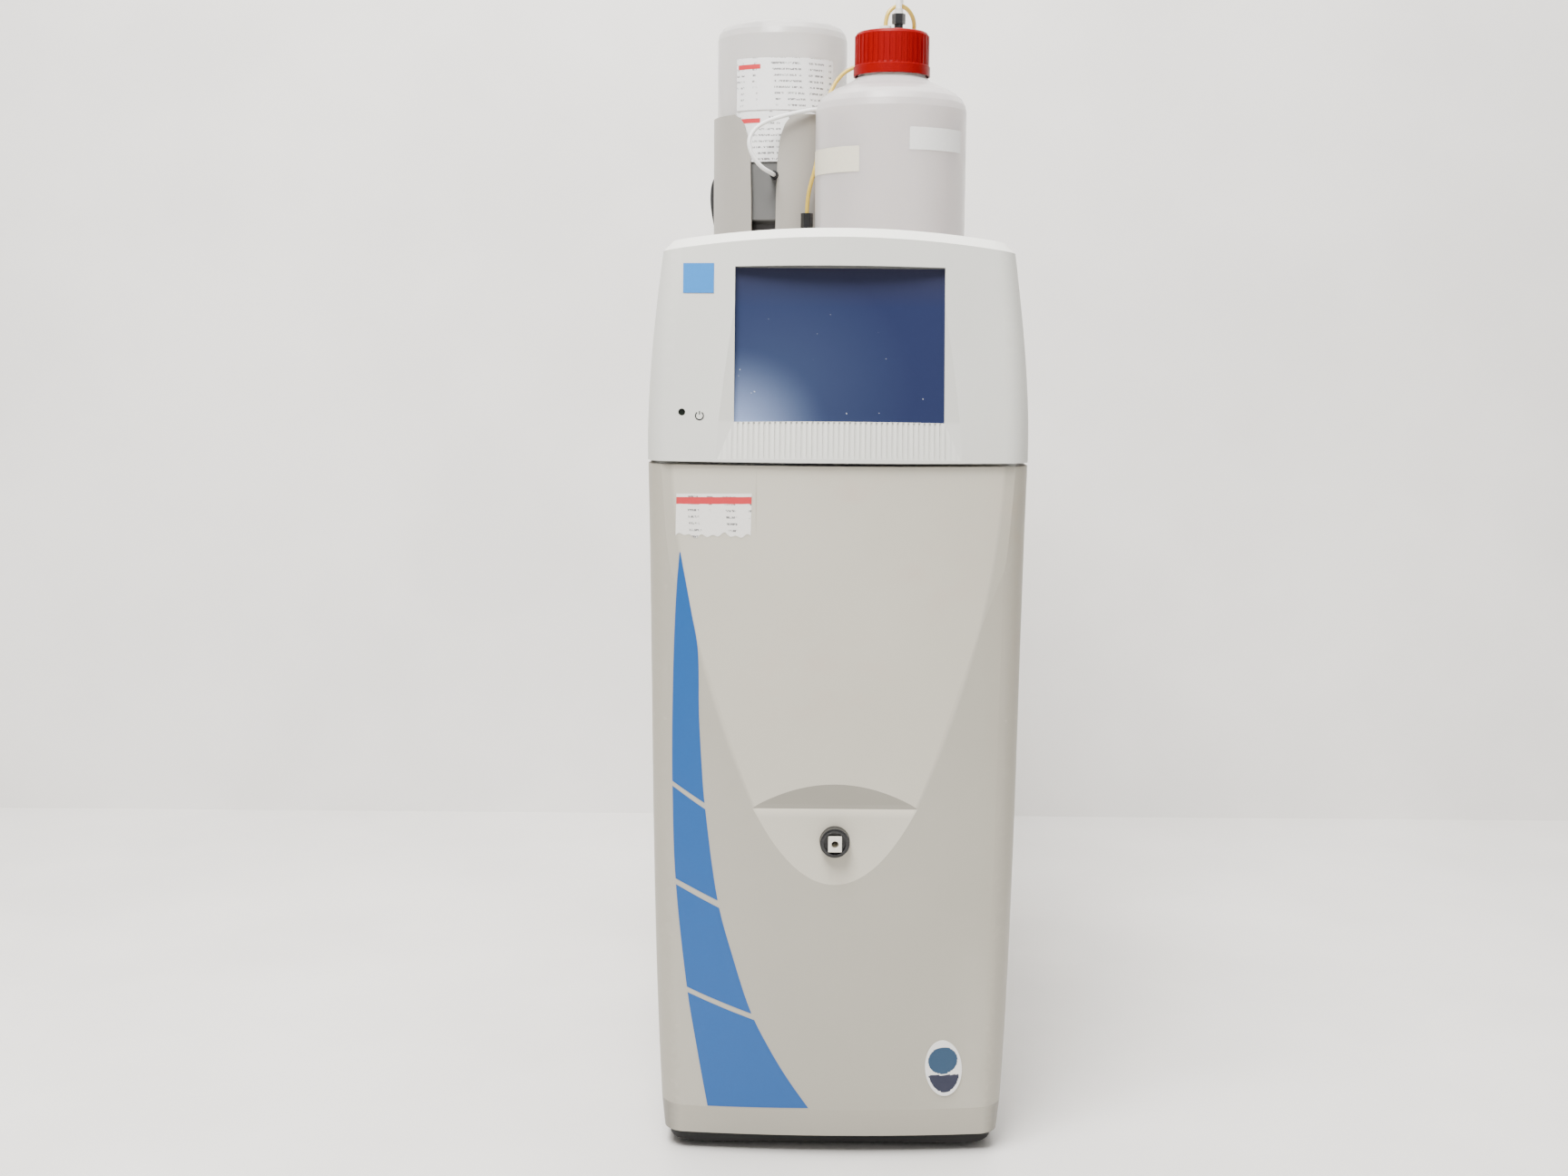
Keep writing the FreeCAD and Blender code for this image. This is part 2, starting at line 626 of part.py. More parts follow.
def pressure_and_knobs():
    """Pressure transducer block, and the waste and priming knobs."""
    face = f"({BAY_BACK} - 1.5)"
    x = "(Size.pump_left + 2 * Size.pump_pitch + 6)"
    block = box("transducer_block", (f"{x} - 16", f"{face} - 22", "Size.pump_z - 16"), ("32", "22", "30"))
    cup = rod("transducer_cup", (x, f"{face} - 11", "Size.pump_z + 14"), "9", "12")
    bore = rod("transducer_bore", (x, f"{face} - 23", "Size.pump_z - 2"), "3 + Size.ease", "14", "y")
    cut("pressure_transducer", fuse("transducer_body", block, cup), bore)
    valve_knob("waste_valve_knob", x, f"({face} - 22 + 4)", "(Size.pump_z - 2)", "8")
    head_x = "(Size.pump_left + Size.pump_pitch)"
    head = doc.getObject("secondary_pump_head")
    head.Label = "secondary_head_solid"
    bore = rod("priming_bore", (head_x, f"{face} - Size.head_length - 1", "Size.pump_z"), "3 + Size.ease",
               "9", "y")
    cut("secondary_head", head, bore).Label = "secondary_pump_head"
    valve_knob("priming_valve_knob", head_x, f"({face} - Size.head_length + 4)", "Size.pump_z", "8")


def injection_parts():
    """Six-port injection valve, its drive behind the bay, and the sample loop."""
    face = f"({BAY_BACK} - 1.5)"
    stator = rod("valve_stator", ("Size.valve_x", f"{face} - 28", "Size.valve_z"), "Size.valve_radius - 3",
                 "28", "y")
    collar = rod("valve_collar", ("Size.valve_x", f"{face} - 12", "Size.valve_z"), "Size.valve_radius",
                 "12", "y")
    nuts = []
    for i in range(6):
        turn = math.radians(60 * i + 30)
        x = f"Size.valve_x + 11 * {math.cos(turn):.6f}"
        z = f"Size.valve_z + 11 * {math.sin(turn):.6f}"
        nuts.append(rod(f"valve_nut_{i}", (x, f"{face} - 38", z), "2.6", "11", "y"))
    fuse("injection_valve", stator, collar, *nuts)
    box("valve_actuator", ("Size.valve_x - 24", BAY_BACK, "Size.valve_z - 30"), ("48", "74", "60"))
    loop = doc.addObject("Part::Torus", "sample_loop")
    loop.Placement = FreeCAD.Placement(V(), TURNS["y"])
    loop.Radius2 = 0.9
    bind(loop, {"Radius1": "11"})
    put(loop, ("Size.valve_x", f"{face} - 38.9", "Size.valve_z"))


def column_parts():
    """Heated compartment with the two columns held in clips, the suppressor and the cell."""
    face = f"({BAY_BACK} - 1.5)"
    block = box("heater_block", ("Size.heater_left", f"{face} - Size.heater_depth", "Size.heater_low"),
                ("Size.heater_width", "Size.heater_depth", "Size.heater_height"))
    hollow = box("heater_hollow", ("Size.heater_left + 3", f"{face} - Size.heater_depth - 1",
                                   "Size.heater_low + 3"),
                 ("Size.heater_width - 6", "Size.heater_depth - 5", "Size.heater_height - 6"))
    cut("column_heater", block, hollow)
    axis_y = f"({face} - 16)"
    runs = {"separator_column": ("Size.column_x", "(Size.heater_low + 5)", "(Size.heater_height - 10)"),
            "guard_column": ("Size.guard_x", "(Size.heater_low + 60)", "66")}
    for label, (x, low, length) in runs.items():
        barrel = rod(f"{label}_barrel", (x, axis_y, f"{low} + 8"), "Size.column_radius", f"{length} - 16")
        foot = hexagon(f"{label}_foot", (x, axis_y, low), "8", "9")
        head = hexagon(f"{label}_head", (x, axis_y, f"{low} + {length} - 9"), "8", "9")
        fuse(label, barrel, foot, head)
    clips = []
    for label, x, heights in (("long", "Size.column_x", (46, 200)), ("short", "Size.guard_x", (84, 100))):
        for height in heights:
            z = f"Size.heater_low + {height}"
            back = box(f"clip_{label}_{height}_foot", (f"{x} - 7.5", f"{face} - 11", z), ("15", "5", "8"))
            ring = rod(f"clip_{label}_{height}_ring", (x, axis_y, z), "Size.column_radius + 2", "8")
            bore = rod(f"clip_{label}_{height}_bore", (x, axis_y, f"{z} - 1"), "Size.column_radius", "10")
            mouth = box(f"clip_{label}_{height}_mouth", (f"{x} - 4", f"{axis_y} - 12", f"{z} - 1"),
                        ("8", "12", "10"))
            clips.append(cut(f"clip_{label}_{height}", fuse(f"clip_{label}_{height}_whole", back, ring),
                             bore, mouth))
    group("column_clips", *clips)
    slab = box("suppressor_slab", ("-84", f"{face} - 16", "250"), ("34", "16", "150"))
    ends = [box(f"suppressor_end_{i}", ("-86", f"{face} - 20", z), ("38", "20", "12"))
            for i, z in enumerate(("246", "392"))]
    fuse("suppressor", slab, *ends)
    cell = box("cell_block", ("-36", f"{face} - 30", "330"), ("34", "30", "46"))
    nut = rod("cell_nut", ("-19", f"{face} - 22", "376"), "4", "9")
    fuse("conductivity_cell", cell, nut)
    trap = rod("trap_barrel", ("-19", f"{face} - 9.8", "258"), "8", "46")
    caps = [hexagon(f"trap_end_{i}", ("-19", f"{face} - 9.8", z), "11", "8") for i,
            z in enumerate(("252", "302"))]
    fuse("trap_column", trap, *caps)


def electronics():
    """Power supply on the base, control board on the right panel, fan, inlet and connectors."""
    box("power_supply", (f"4.5 - {INSIDE}", f"{PANEL_BACK} - 160", BASE_TOP), ("96", "118", "66"))
    board_x = f"({INSIDE} - 8)"
    board_start, board_end = "40", f"({PANEL_BACK} - Size.sheet - 1)"
    board = box("control_board_plate", (board_x, board_start, "90"), ("1.6", f"{board_end} - {board_start}",
                                                                      "250"))
    corners = [(y, z) for z in ("104", "326") for y in (f"{board_start} + 20", f"{board_end} - 21")]
    posts = [rod(f"board_post_{i}", (f"{board_x} + 1.6", y, z), "3", "8 - 1.6", "x")
             for i, (y, z) in enumerate(corners)]
    chips = [box(f"board_chip_{i}", (f"{board_x} - 4", f"{90 + 50 * i}", "180"),
                 ("4.2", "28", "28")) for i in range(3)]
    fuse("control_board", board, *posts, *chips)
    frame_y = f"({PANEL_BACK} - Size.sheet - Size.fan_depth)"
    half = "Size.fan_size / 2"
    square = box("fan_square", (f"Size.fan_x - {half}", frame_y, f"Size.fan_z - {half}"),
                 ("Size.fan_size", "Size.fan_depth", "Size.fan_size"))
    tunnel = rod("fan_tunnel", ("Size.fan_x", f"{frame_y} - 1", "Size.fan_z"), f"{half} - 2",
                 "Size.fan_depth + 2", "y")
    hub = rod("fan_motor", ("Size.fan_x", frame_y, "Size.fan_z"), "15", "5", "y")
    spindle = rod("fan_spindle", ("Size.fan_x", f"{frame_y} + 4", "Size.fan_z"), "2", "16", "y")
    arms = [box("fan_arm_across", (f"Size.fan_x - {half} + 1", frame_y, "Size.fan_z - 2"),
                ("Size.fan_size - 2", "3", "4")),
            box("fan_arm_up", ("Size.fan_x - 2", frame_y, f"Size.fan_z - {half} + 1"),
                ("4", "3", "Size.fan_size - 2"))]
    fuse("fan_frame", cut("fan_duct", square, tunnel), hub, spindle, *arms)
    wheel_y = f"({frame_y} + 5 + Size.ease)"
    boss = rod("rotor_hub", ("Size.fan_x", wheel_y, "Size.fan_z"), "16", "17", "y")
    bore = rod("rotor_bore", ("Size.fan_x", f"{wheel_y} - 1", "Size.fan_z"), "2 + Size.running", "16", "y")
    blades = []
    for i in range(7):
        blade = doc.addObject("Part::Box", f"rotor_blade_{i}")
        bind(blade, {"Length": f"{half} - 19", "Width": "1.6", "Height": "18"})
        lean = FreeCAD.Rotation(V(0, 1, 0), 360 * i / 7).multiply(FreeCAD.Rotation(V(1, 0, 0), 50))
        blade.Placement = FreeCAD.Placement(V(), lean)
        start = lean.multVec(V(14, -1, -9))
        put(blade, (f"Size.fan_x + {start.x:.6f}", f"{wheel_y} + 8.5 + {start.y:.6f}",
                    f"Size.fan_z + {start.z:.6f}"))
        blades.append(blade)
    cut("fan_rotor", fuse("rotor_whole", boss, *blades), bore)
    guard_y = PANEL_BACK
    rings = []
    for i in range(4):
        radius = f"({half} - 4) * {(i + 1) / 4}"
        outer = rod(f"guard_out_{i}", ("Size.fan_x", guard_y, "Size.fan_z"), radius, "1.4", "y")
        inner = rod(f"guard_in_{i}", ("Size.fan_x", f"{guard_y} - 1", "Size.fan_z"), f"{radius} - 1.4", "4",
                    "y")
        rings.append(cut(f"guard_ring_{i}", outer, inner))
    bars = []
    for i in range(2):
        bar = doc.addObject("Part::Box", f"guard_bar_{i}")
        bind(bar, {"Length": "Size.fan_size + 16", "Width": "1.4", "Height": "2"})
        slant = FreeCAD.Rotation(V(0, 1, 0), 45 + 90 * i)
        bar.Placement = FreeCAD.Placement(V(), slant)
        reach = "(Size.fan_size / 2 + 8)"
        lead = slant.multVec(V(-1, 0, 0))
        edge = slant.multVec(V(0, 0, -1))
        put(bar, (f"Size.fan_x + {reach} * {lead.x:.6f} + {edge.x:.6f}", guard_y,
                  f"Size.fan_z + {reach} * {lead.z:.6f} + {edge.z:.6f}"))
        bars.append(bar)
    fuse("fan_guard", *rings, *bars)
    inlet = box("inlet_body", ("Size.inlet_x - 23.5", f"{PANEL_BACK} - 24", "Size.inlet_z - 14.5"),
                ("65", "24", "29"))
    flange = box("inlet_flange", ("Size.inlet_x - 27", PANEL_BACK, "Size.inlet_z - 18"), ("72", "2.4", "36"))
    socket = box("inlet_socket", ("Size.inlet_x - 18", f"{PANEL_BACK} - 16", "Size.inlet_z - 9"),
                 ("27", "20", "18"))
    pocket = box("switch_pocket", ("Size.inlet_x + 17", f"{PANEL_BACK} - 12", "Size.inlet_z - 11"),
                 ("20", "20", "22"))
    pins = [box(f"inlet_pin_{i}", (f"Size.inlet_x + {x}", f"{PANEL_BACK} - 16.5", f"Size.inlet_z + {z}"),
                ("2", "8", "4"))
            for i, (x, z) in enumerate(((-12.5, -4), (-5.5, 0), (1.5, -4)))]
    fuse("power_inlet", cut("inlet_cut", fuse("inlet_solid", inlet, flange), socket, pocket), *pins)
    padded("rocker_switch", "YZ", "Size.inlet_x + 17.4", [
        (f"{PANEL_BACK} - 7", "Size.inlet_z - 8"), (f"{PANEL_BACK} + 1.2", "Size.inlet_z - 9.5"),
        (f"{PANEL_BACK} - 0.6", "Size.inlet_z"), (f"{PANEL_BACK} + 1.2", "Size.inlet_z + 9.5"),
        (f"{PANEL_BACK} - 7", "Size.inlet_z + 8")], "19.2")
    ports = box("port_block", ("40.3", f"{PANEL_BACK} - 14", "216.3"), ("19.4", "16", "95.4"))
    jacks = [box(f"port_jack_{i}", ("44", f"{PANEL_BACK} - 8", f"{222 + 22 * i}"),
                 ("12", "14", "14")) for i in range(4)]
    cut("signal_connectors", ports, *jacks)


def bottle_parts():
    """Translucent two-litre eluent bottle, its stopper, its open-topped screw ring and fittings."""
    spot = ("Size.bottle_x", "Size.bottle_y", "0")
    r, wall, neck = "Size.bottle_radius", "Size.bottle_wall", "Size.neck_radius"
    floor = TRAY_FLOOR
    turned("eluent_bottle", spot, [
        ("0", floor), (f"{r} - 4", floor), (r, f"{floor} + 4"), (r, f"{floor} + Size.shoulder"),
        (f"{r} - 1.2", f"{floor} + Size.shoulder + 5"), (f"{r} - 4", f"{floor} + Size.shoulder + 9.5"),
        (f"{r} - 8.5", f"{floor} + Size.shoulder + 13"), (f"{r} - 14", f"{floor} + Size.shoulder + 16"),
        (f"{r} - 21", f"{floor} + Size.shoulder + 19"), (f"{neck} + 3", f"{floor} + Size.shoulder + 23"),
        (neck, f"{floor} + Size.shoulder + 26"), (neck, NECK_TOP), (f"{neck} - {wall}", NECK_TOP),
        (f"{neck} - {wall}", f"{floor} + Size.shoulder + 25"), (f"{neck} + 1.4",
                                                                f"{floor} + Size.shoulder + 21.6"),
        (f"{r} - 21.8", f"{floor} + Size.shoulder + 17.3"), (f"{r} - 15", f"{floor} + Size.shoulder + 14.4"),
        (f"{r} - 9.8", f"{floor} + Size.shoulder + 11.6"), (f"{r} - 5.6", f"{floor} + Size.shoulder + 8.4"),
        (f"{r} - 3", f"{floor} + Size.shoulder + 4.5"), (f"{r} - {wall}", f"{floor} + Size.shoulder - 0.4"),
        (f"{r} - {wall}", f"{floor} + 5"), (f"{r} - 5", f"{floor} + {wall}"), ("0", f"{floor} + {wall}")])
    turned("bottle_stopper", spot, [
        ("0", f"{NECK_TOP} - 12"), (f"{neck} - {wall} - 0.2", f"{NECK_TOP} - 12"),
        (f"{neck} - {wall} - 0.2", NECK_TOP), (f"{neck} - 0.5", NECK_TOP), (f"{neck} - 0.5",
                                                                            f"{NECK_TOP} + 5.5"),
        ("17", f"{NECK_TOP} + 5.5"), ("17", f"{CAP_TOP} - 1"), ("0", f"{CAP_TOP} - 1")])
    cap = turned("cap_turned", spot, [
        (f"{neck} + Size.ease + 0.1", f"{CAP_LOW} + 3"), ("Size.cap_radius + 0.2", f"{CAP_LOW} + 2.6"),
        ("Size.cap_radius + 0.3", CAP_LOW), ("Size.cap_radius + 1.4", CAP_LOW),
        ("Size.cap_radius + 1.4", f"{CAP_LOW} + Size.cap_skirt - 0.8"),
        ("Size.cap_radius + 0.2", f"{CAP_LOW} + Size.cap_skirt"), ("Size.cap_radius",
                                                                   f"{CAP_LOW} + Size.cap_skirt + 1"),
        ("Size.cap_radius", f"{CAP_TOP} - 2.4"), ("Size.cap_radius - 0.8", f"{CAP_TOP} - 0.8"),
        ("Size.cap_radius - 2.4", CAP_TOP), ("20", CAP_TOP),
        ("20", f"{NECK_TOP} + 5.5 + Size.ease"), (f"{neck} + Size.ease + 0.1",
                                                  f"{NECK_TOP} + 5.5 + Size.ease")])
    ribs = []
    count = 40
    for i in range(count):
        rib = doc.addObject("Part::Box", f"cap_rib_{i}")
        spin = FreeCAD.Rotation(V(0, 0, 1), 360 * i / count)
        bind(rib, {"Length": "1.4", "Width": "2.2",
                   "Height": f"{CAP_TOP} - {CAP_LOW} - Size.cap_skirt - 2.6"})
        rib.Placement = FreeCAD.Placement(V(), spin)
        out = spin.multVec(V(1, 0, 0))
        aside = spin.multVec(V(0, -1.1, 0))
        reach = "(Size.cap_radius - 0.8)"
        put(rib, (f"Size.bottle_x + {reach} * {out.x:.6f} + {aside.x:.6f}",
                  f"Size.bottle_y + {reach} * {out.y:.6f} + {aside.y:.6f}", f"{CAP_LOW} + Size.cap_skirt - 0.2"))
        ribs.append(rib)
    fuse("bottle_cap", cap, *ribs)
    top = f"({CAP_TOP} - 1)"
    nut_x = "(Size.bottle_x + 4.4)"
    neck_rod = rod("fitting_stem", (nut_x, "Size.bottle_y - 3", top), "3.3", "8")
    nut = hexagon("fitting_nut", (nut_x, "Size.bottle_y - 3", f"{top} + 7"), "5", "7.4")
    ring = rod("fitting_ring", (nut_x, "Size.bottle_y - 3", f"{top} + 14.4"), "3.2", "3.4")
    bore = rod("fitting_bore", (nut_x, "Size.bottle_y - 3", f"{top} + 7"), "Size.gas_radius", "14")
    side_x = "(Size.bottle_x - 5.1)"
    side = rod("side_fitting", (side_x, "Size.bottle_y + 1", top), "4.4", "6")
    side_bore = rod("side_bore", (side_x, "Size.bottle_y + 1", f"{top} + 2"), "Size.tube_radius", "6")
    cut("gas_fitting", fuse("gas_fitting_whole", neck_rod, nut, ring), bore)
    cut("liquid_fitting", side, side_bore)


GLAND_TURN = "-126.87"


def spoke(label, turn, start, height, radius, length):
    """A round bar that points straight out of the cartridge's axis, turned from the front."""
    angle = f"({turn})"
    item = doc.addObject("Part::Cylinder", label)
    outward = FreeCAD.Rotation(V(0, 0, 1), value(turn)).multiply(FreeCAD.Rotation(V(1, 0, 0), 90))
    item.Placement = FreeCAD.Placement(V(), outward)
    bind(item, {"Radius": radius, "Height": length})
    return put(item, (f"Size.cartridge_x + ({start}) * sin({angle})",
                      f"Size.cartridge_y - ({start}) * cos({angle})", height))


def cartridge_parts():
    """Generator cartridge: a domed translucent bottle upside down on its grey cell, in a holder."""
    spot = ("Size.cartridge_x", "Size.cartridge_y", "0")
    r = "Size.cartridge_radius"
    turned("cartridge_bottle", spot, [
        ("20", "Size.cartridge_join"), (r, "Size.cartridge_join"), (r, "Size.cartridge_top - 13"),
        (f"{r} - 1.1", "Size.cartridge_top - 8.4"), (f"{r} - 3.8", "Size.cartridge_top - 4.6"),
        (f"{r} - 8.6", "Size.cartridge_top - 2"), (f"{r} - 16", "Size.cartridge_top - 0.6"),
        ("0", "Size.cartridge_top"), ("0", "Size.cartridge_top - 2"),
        (f"{r} - 16.2", "Size.cartridge_top - 2.6"), (f"{r} - 9.6", "Size.cartridge_top - 3.9"),
        (f"{r} - 5.2", "Size.cartridge_top - 6.2"), (f"{r} - 2.9", "Size.cartridge_top - 9.4"),
        (f"{r} - 1.8", "Size.cartridge_top - 13.4"),
        (f"{r} - 1.8", "Size.cartridge_join + 1.8"), ("20", "Size.cartridge_join + 1.8")])
    base = turned("cartridge_base_turned", spot, [
        ("0", TRAY_FLOOR), ("30", TRAY_FLOOR), ("30", f"{TRAY_FLOOR} + 20"), (f"{r} - 4",
                                                                              f"{TRAY_FLOOR} + 26"),
        (f"{r} - 4", f"{TRAY_FLOOR} + 104"), (f"{r} - 1", f"{TRAY_FLOOR} + 107"), (f"{r} - 1",
                                                                                   "Size.cartridge_join"),
        ("19.8", "Size.cartridge_join"), ("19.8", "Size.cartridge_join + 8"), ("0",
                                                                               "Size.cartridge_join + 8")])
    seat = spoke("cartridge_port_seat", "Size.slot_turn + 9", f"{r} - 2", "Size.cartridge_join - 10", "3.4",
                 "12")
    cut("cartridge_base", base, seat)
    outer = turned("holder_turned", ("0", "0", "0"), [
        ("Size.holder_radius - Size.holder_wall", TRAY_FLOOR), ("Size.holder_radius", TRAY_FLOOR),
        ("Size.holder_radius", "Size.holder_top"),
        ("Size.holder_radius - Size.holder_wall", "Size.holder_top")])
    slot = padded("holder_slot", "XZ", "0", [
        ("-Size.slot_width / 2", f"{TRAY_FLOOR} - 1"), ("Size.slot_width / 2", f"{TRAY_FLOOR} - 1"),
        ("Size.slot_width / 2 + 1.4", "Size.holder_top - 60"), ("Size.slot_width / 2 + 2.4",
                                                                "Size.holder_top - 32"),
        ("Size.slot_width / 2 + 4.4", "Size.holder_top - 17"), ("Size.slot_width / 2 + 7.6",
                                                                "Size.holder_top - 8"),
        ("Size.slot_width / 2 + 11.6", "Size.holder_top - 2.6"), ("Size.slot_width / 2 + 18",
                                                                  "Size.holder_top + 1"),
        ("-Size.slot_width / 2 - 18", "Size.holder_top + 1"), ("-Size.slot_width / 2 - 11.6",
                                                               "Size.holder_top - 2.6"),
        ("-Size.slot_width / 2 - 7.6", "Size.holder_top - 8"), ("-Size.slot_width / 2 - 4.4",
                                                                "Size.holder_top - 17"),
        ("-Size.slot_width / 2 - 2.4", "Size.holder_top - 32"), ("-Size.slot_width / 2 - 1.4",
                                                                 "Size.holder_top - 60")],
        "Size.holder_radius + 5")
    holder = cut("holder_upright", outer, slot)
    turned_holder = group("holder_turned_round", holder)
    turned_holder.Placement = FreeCAD.Placement(V(), FreeCAD.Rotation(V(0, 0, 1), value("Size.slot_turn")))
    put(turned_holder, spot)
    gland_seat = spoke("gland_seat", GLAND_TURN, "Size.holder_radius - 5", "Size.cartridge_join - 3", "4",
                       "12")
    port_notch = spoke("port_notch", "Size.slot_turn + 9", "Size.holder_radius - 5",
                       "Size.cartridge_join - 10",
                       "3.4", "12")
    cut("cartridge_holder", turned_holder, gland_seat, port_notch)


def line_fittings():
    """Stopper fittings, the union on the feed line, the cartridge's port and the cable gland."""
    union = hexagon("union_body", ("Size.union_x", "Size.union_y", "577"), "4.6", "15")
    bores = [rod("union_bore_top", ("Size.union_x", "Size.union_y", "588"), "Size.tube_radius", "5"),
             rod("union_bore_low", ("Size.union_x", "Size.union_y", "576"), "Size.tube_radius", "5")]
    port = spoke("port_body_round", "Size.slot_turn + 9", "Size.cartridge_radius - 2",
                 "Size.cartridge_join - 10", "3", "8")
    port_bore = spoke("port_bore_round", "Size.slot_turn + 9", "Size.cartridge_radius + 3",
                      "Size.cartridge_join - 10",
                      "Size.tube_radius", "6")
    gland = spoke("gland_body", GLAND_TURN, "Size.holder_radius - Size.holder_wall",
                  "Size.cartridge_join - 3", "4", "8")
    gland_bore = spoke("gland_bore", GLAND_TURN, "Size.holder_radius + 1", "Size.cartridge_join - 3",
                       "Size.cable_radius", "12")
    group("line_fittings", doc.getObject("gas_fitting"), doc.getObject("liquid_fitting"),
          cut("line_union", union, *bores), cut("cartridge_port", port, port_bore),
          cut("cable_gland", gland, gland_bore))


def tube(label, points, radius):
    """A plain tube along straight runs joined by tangent arcs, with its smallest arc printed."""
    spots = [V(*point) for point in points]
    runs = [(b - a).Length for a, b in zip(spots, spots[1:])]
    edges = []
    start = spots[0]
    tightest = 1e9
    for i in range(1, len(spots) - 1):
        into = (spots[i] - spots[i - 1]).normalize()
        out = (spots[i + 1] - spots[i]).normalize()
        half_turn = into.getAngle(out) / 2
        reach = 0.45 * min(runs[i - 1], runs[i])
        bend = reach / math.tan(half_turn)
        tightest = min(tightest, bend)
        a = spots[i] - into * reach
        b = spots[i] + out * reach
        inward = (out - into).normalize()
        middle = spots[i] + inward * (bend / math.cos(half_turn) - bend)
        edges.append(Part.LineSegment(start, a).toShape())
        edges.append(Part.Arc(a, middle, b).toShape())
        start = b
    edges.append(Part.LineSegment(start, spots[-1]).toShape())
    path = Part.Wire(edges)
    size = value(radius)
    ring = Part.Wire([Part.makeCircle(size, spots[0], spots[1] - spots[0])])
    solid = path.makePipeShell([ring], True, True)
    item = doc.addObject("Part::Feature", label)
    item.Shape = solid
    item.Placement = FreeCAD.Placement()
    ratio = solid.Volume / (math.pi * size * size * path.Length)
    print(f"{label}: length {path.Length:.1f}, tightest arc {tightest:.1f}, volume ratio {ratio:.4f}")
    return item


def cords():
    """Tubes and cable above the tray."""
    top = value(CAP_TOP) - 1
    floor = value(TRAY_FLOOR) + 2
    tube("gas_line", [
        (49, 66, top + 8), (49, 66, top + 24), (49.4, 69, top + 46), (50.3, 82, top + 64),
        (51.7, 103, top + 71), (53.3, 125, top + 64), (54.6, 144, top + 45), (55.4, 158, top + 16),
        (56, 167, top - 24), (58, 172, top - 74), (62, 174, top - 126), (67, 173.3, top - 178),
        (70, 172, floor + 20), (70, 172, floor - 3)], "Size.gas_radius")
    tube("eluent_line", [
        (39.5, 70, top + 3), (39.5, 70, top + 14), (46.3, 72, top + 21.3), (54.5, 75, top + 21.3),
        (61, 79.5, top + 14), (62.2, 90, top + 5), (60, 102, top - 3), (51, 112, top - 9),
        (38, 117, top - 12), (26, 119.5, top - 14), (14, 118, top - 18), (5.5, 113.5, top - 26),
        (-0.5, 106, top - 38), (-4.3, 100, top - 52), (-7, 95.5, top - 66), (-8.7, 92, top - 80),
        (-10.5, 89.8, top - 94), (-14.5, 89, top - 107), (-17, 90, top - 120), (-17, 90, 588)],
        "Size.tube_radius")
    tube("feed_line", [
        (-17, 90, 581), (-17, 90, 563), (-16.6, 90.7, 542), (-15, 91.6, 520), (-14.5, 92, 501),
        (-14.5, 92, floor - 3)], "Size.tube_radius")
    middle = V(value("Size.cartridge_x"), value("Size.cartridge_y"), 0)
    turn = math.radians(value("Size.slot_turn") + 9)
    reach = value("Size.cartridge_radius") + 3
    level = value("Size.cartridge_join") - 10
    outward = V(math.sin(turn), -math.cos(turn), 0)
    near, far = middle + outward * reach, middle + outward * (reach + 12)
    tube("cartridge_line", [
        (near.x, near.y, level), (far.x, far.y, level), (-52, 79, 625), (-59.5, 77.5, 635), (-61.5, 79, 646),
        (-55, 83, 655.5), (-43, 87, 661.5), (-30, 91.5, 665.5), (-18.5, 96, 668.5), (-9.5, 102.5, 670.5),
        (-3.7, 109, 671.5), (3.2, 115.6, 671.5), (10, 124, 669.5), (18, 132, 662), (26, 139.5, 647),
        (31.5, 146, 625), (35, 150.5, 600), (36.3, 152.3, 566), (36.1, 152.2, 530), (36, 152, 504),
        (36, 152, floor - 3)], "Size.tube_radius")
    gland = math.radians(value(GLAND_TURN))
    outward = V(math.sin(gland), -math.cos(gland), 0)
    near = middle + outward * (value("Size.holder_radius") + 1)
    far = near + outward * 9
    tube("cartridge_cable", [
        (near.x, near.y, level + 7), (far.x, far.y, level + 7), (-91.6, 192.5, 622), (-92.6, 194.5, 609),
        (-91, 196, 596), (-88, 197.5, 582), (-86, 198.5, 562), (-85.2, 199, 532), (-85, 199, 504),
        (-85, 199, floor - 3)], "Size.cable_radius")


def door_sections(body, name, inset, low, high, back):
    """The four plan sections of the door, or of its inside when inset is the wall."""
    def half(width):
        """Half of a named width, less the inset."""
        return f"Size.{width} / 2 - {inset}"

    lean = "tan(Size.facet_lean)"
    dip = f"(({high}) - Size.facet_height) * {lean}" if inset != "0" else "0"
    crown = f"{FRONT} + {inset}"
    bend = f"Size.door_corner - {inset}"
    rows = [
        (low, half("lip_width"), f"{crown} + Size.lip_set", "Size.lip_bow", bend),
        ("Size.low_height", half("low_width"), f"{crown} + 0.5", "Size.low_bow", bend),
        ("Size.mid_height", half("mid_width"), f"{crown}", "Size.mid_bow", bend),
        (high, half("top_width"), f"{crown} + {dip}", "Size.mid_bow", bend),
    ]
    return [plan_section(body, f"{name}_{i}", *row, back) for i, row in enumerate(rows)]


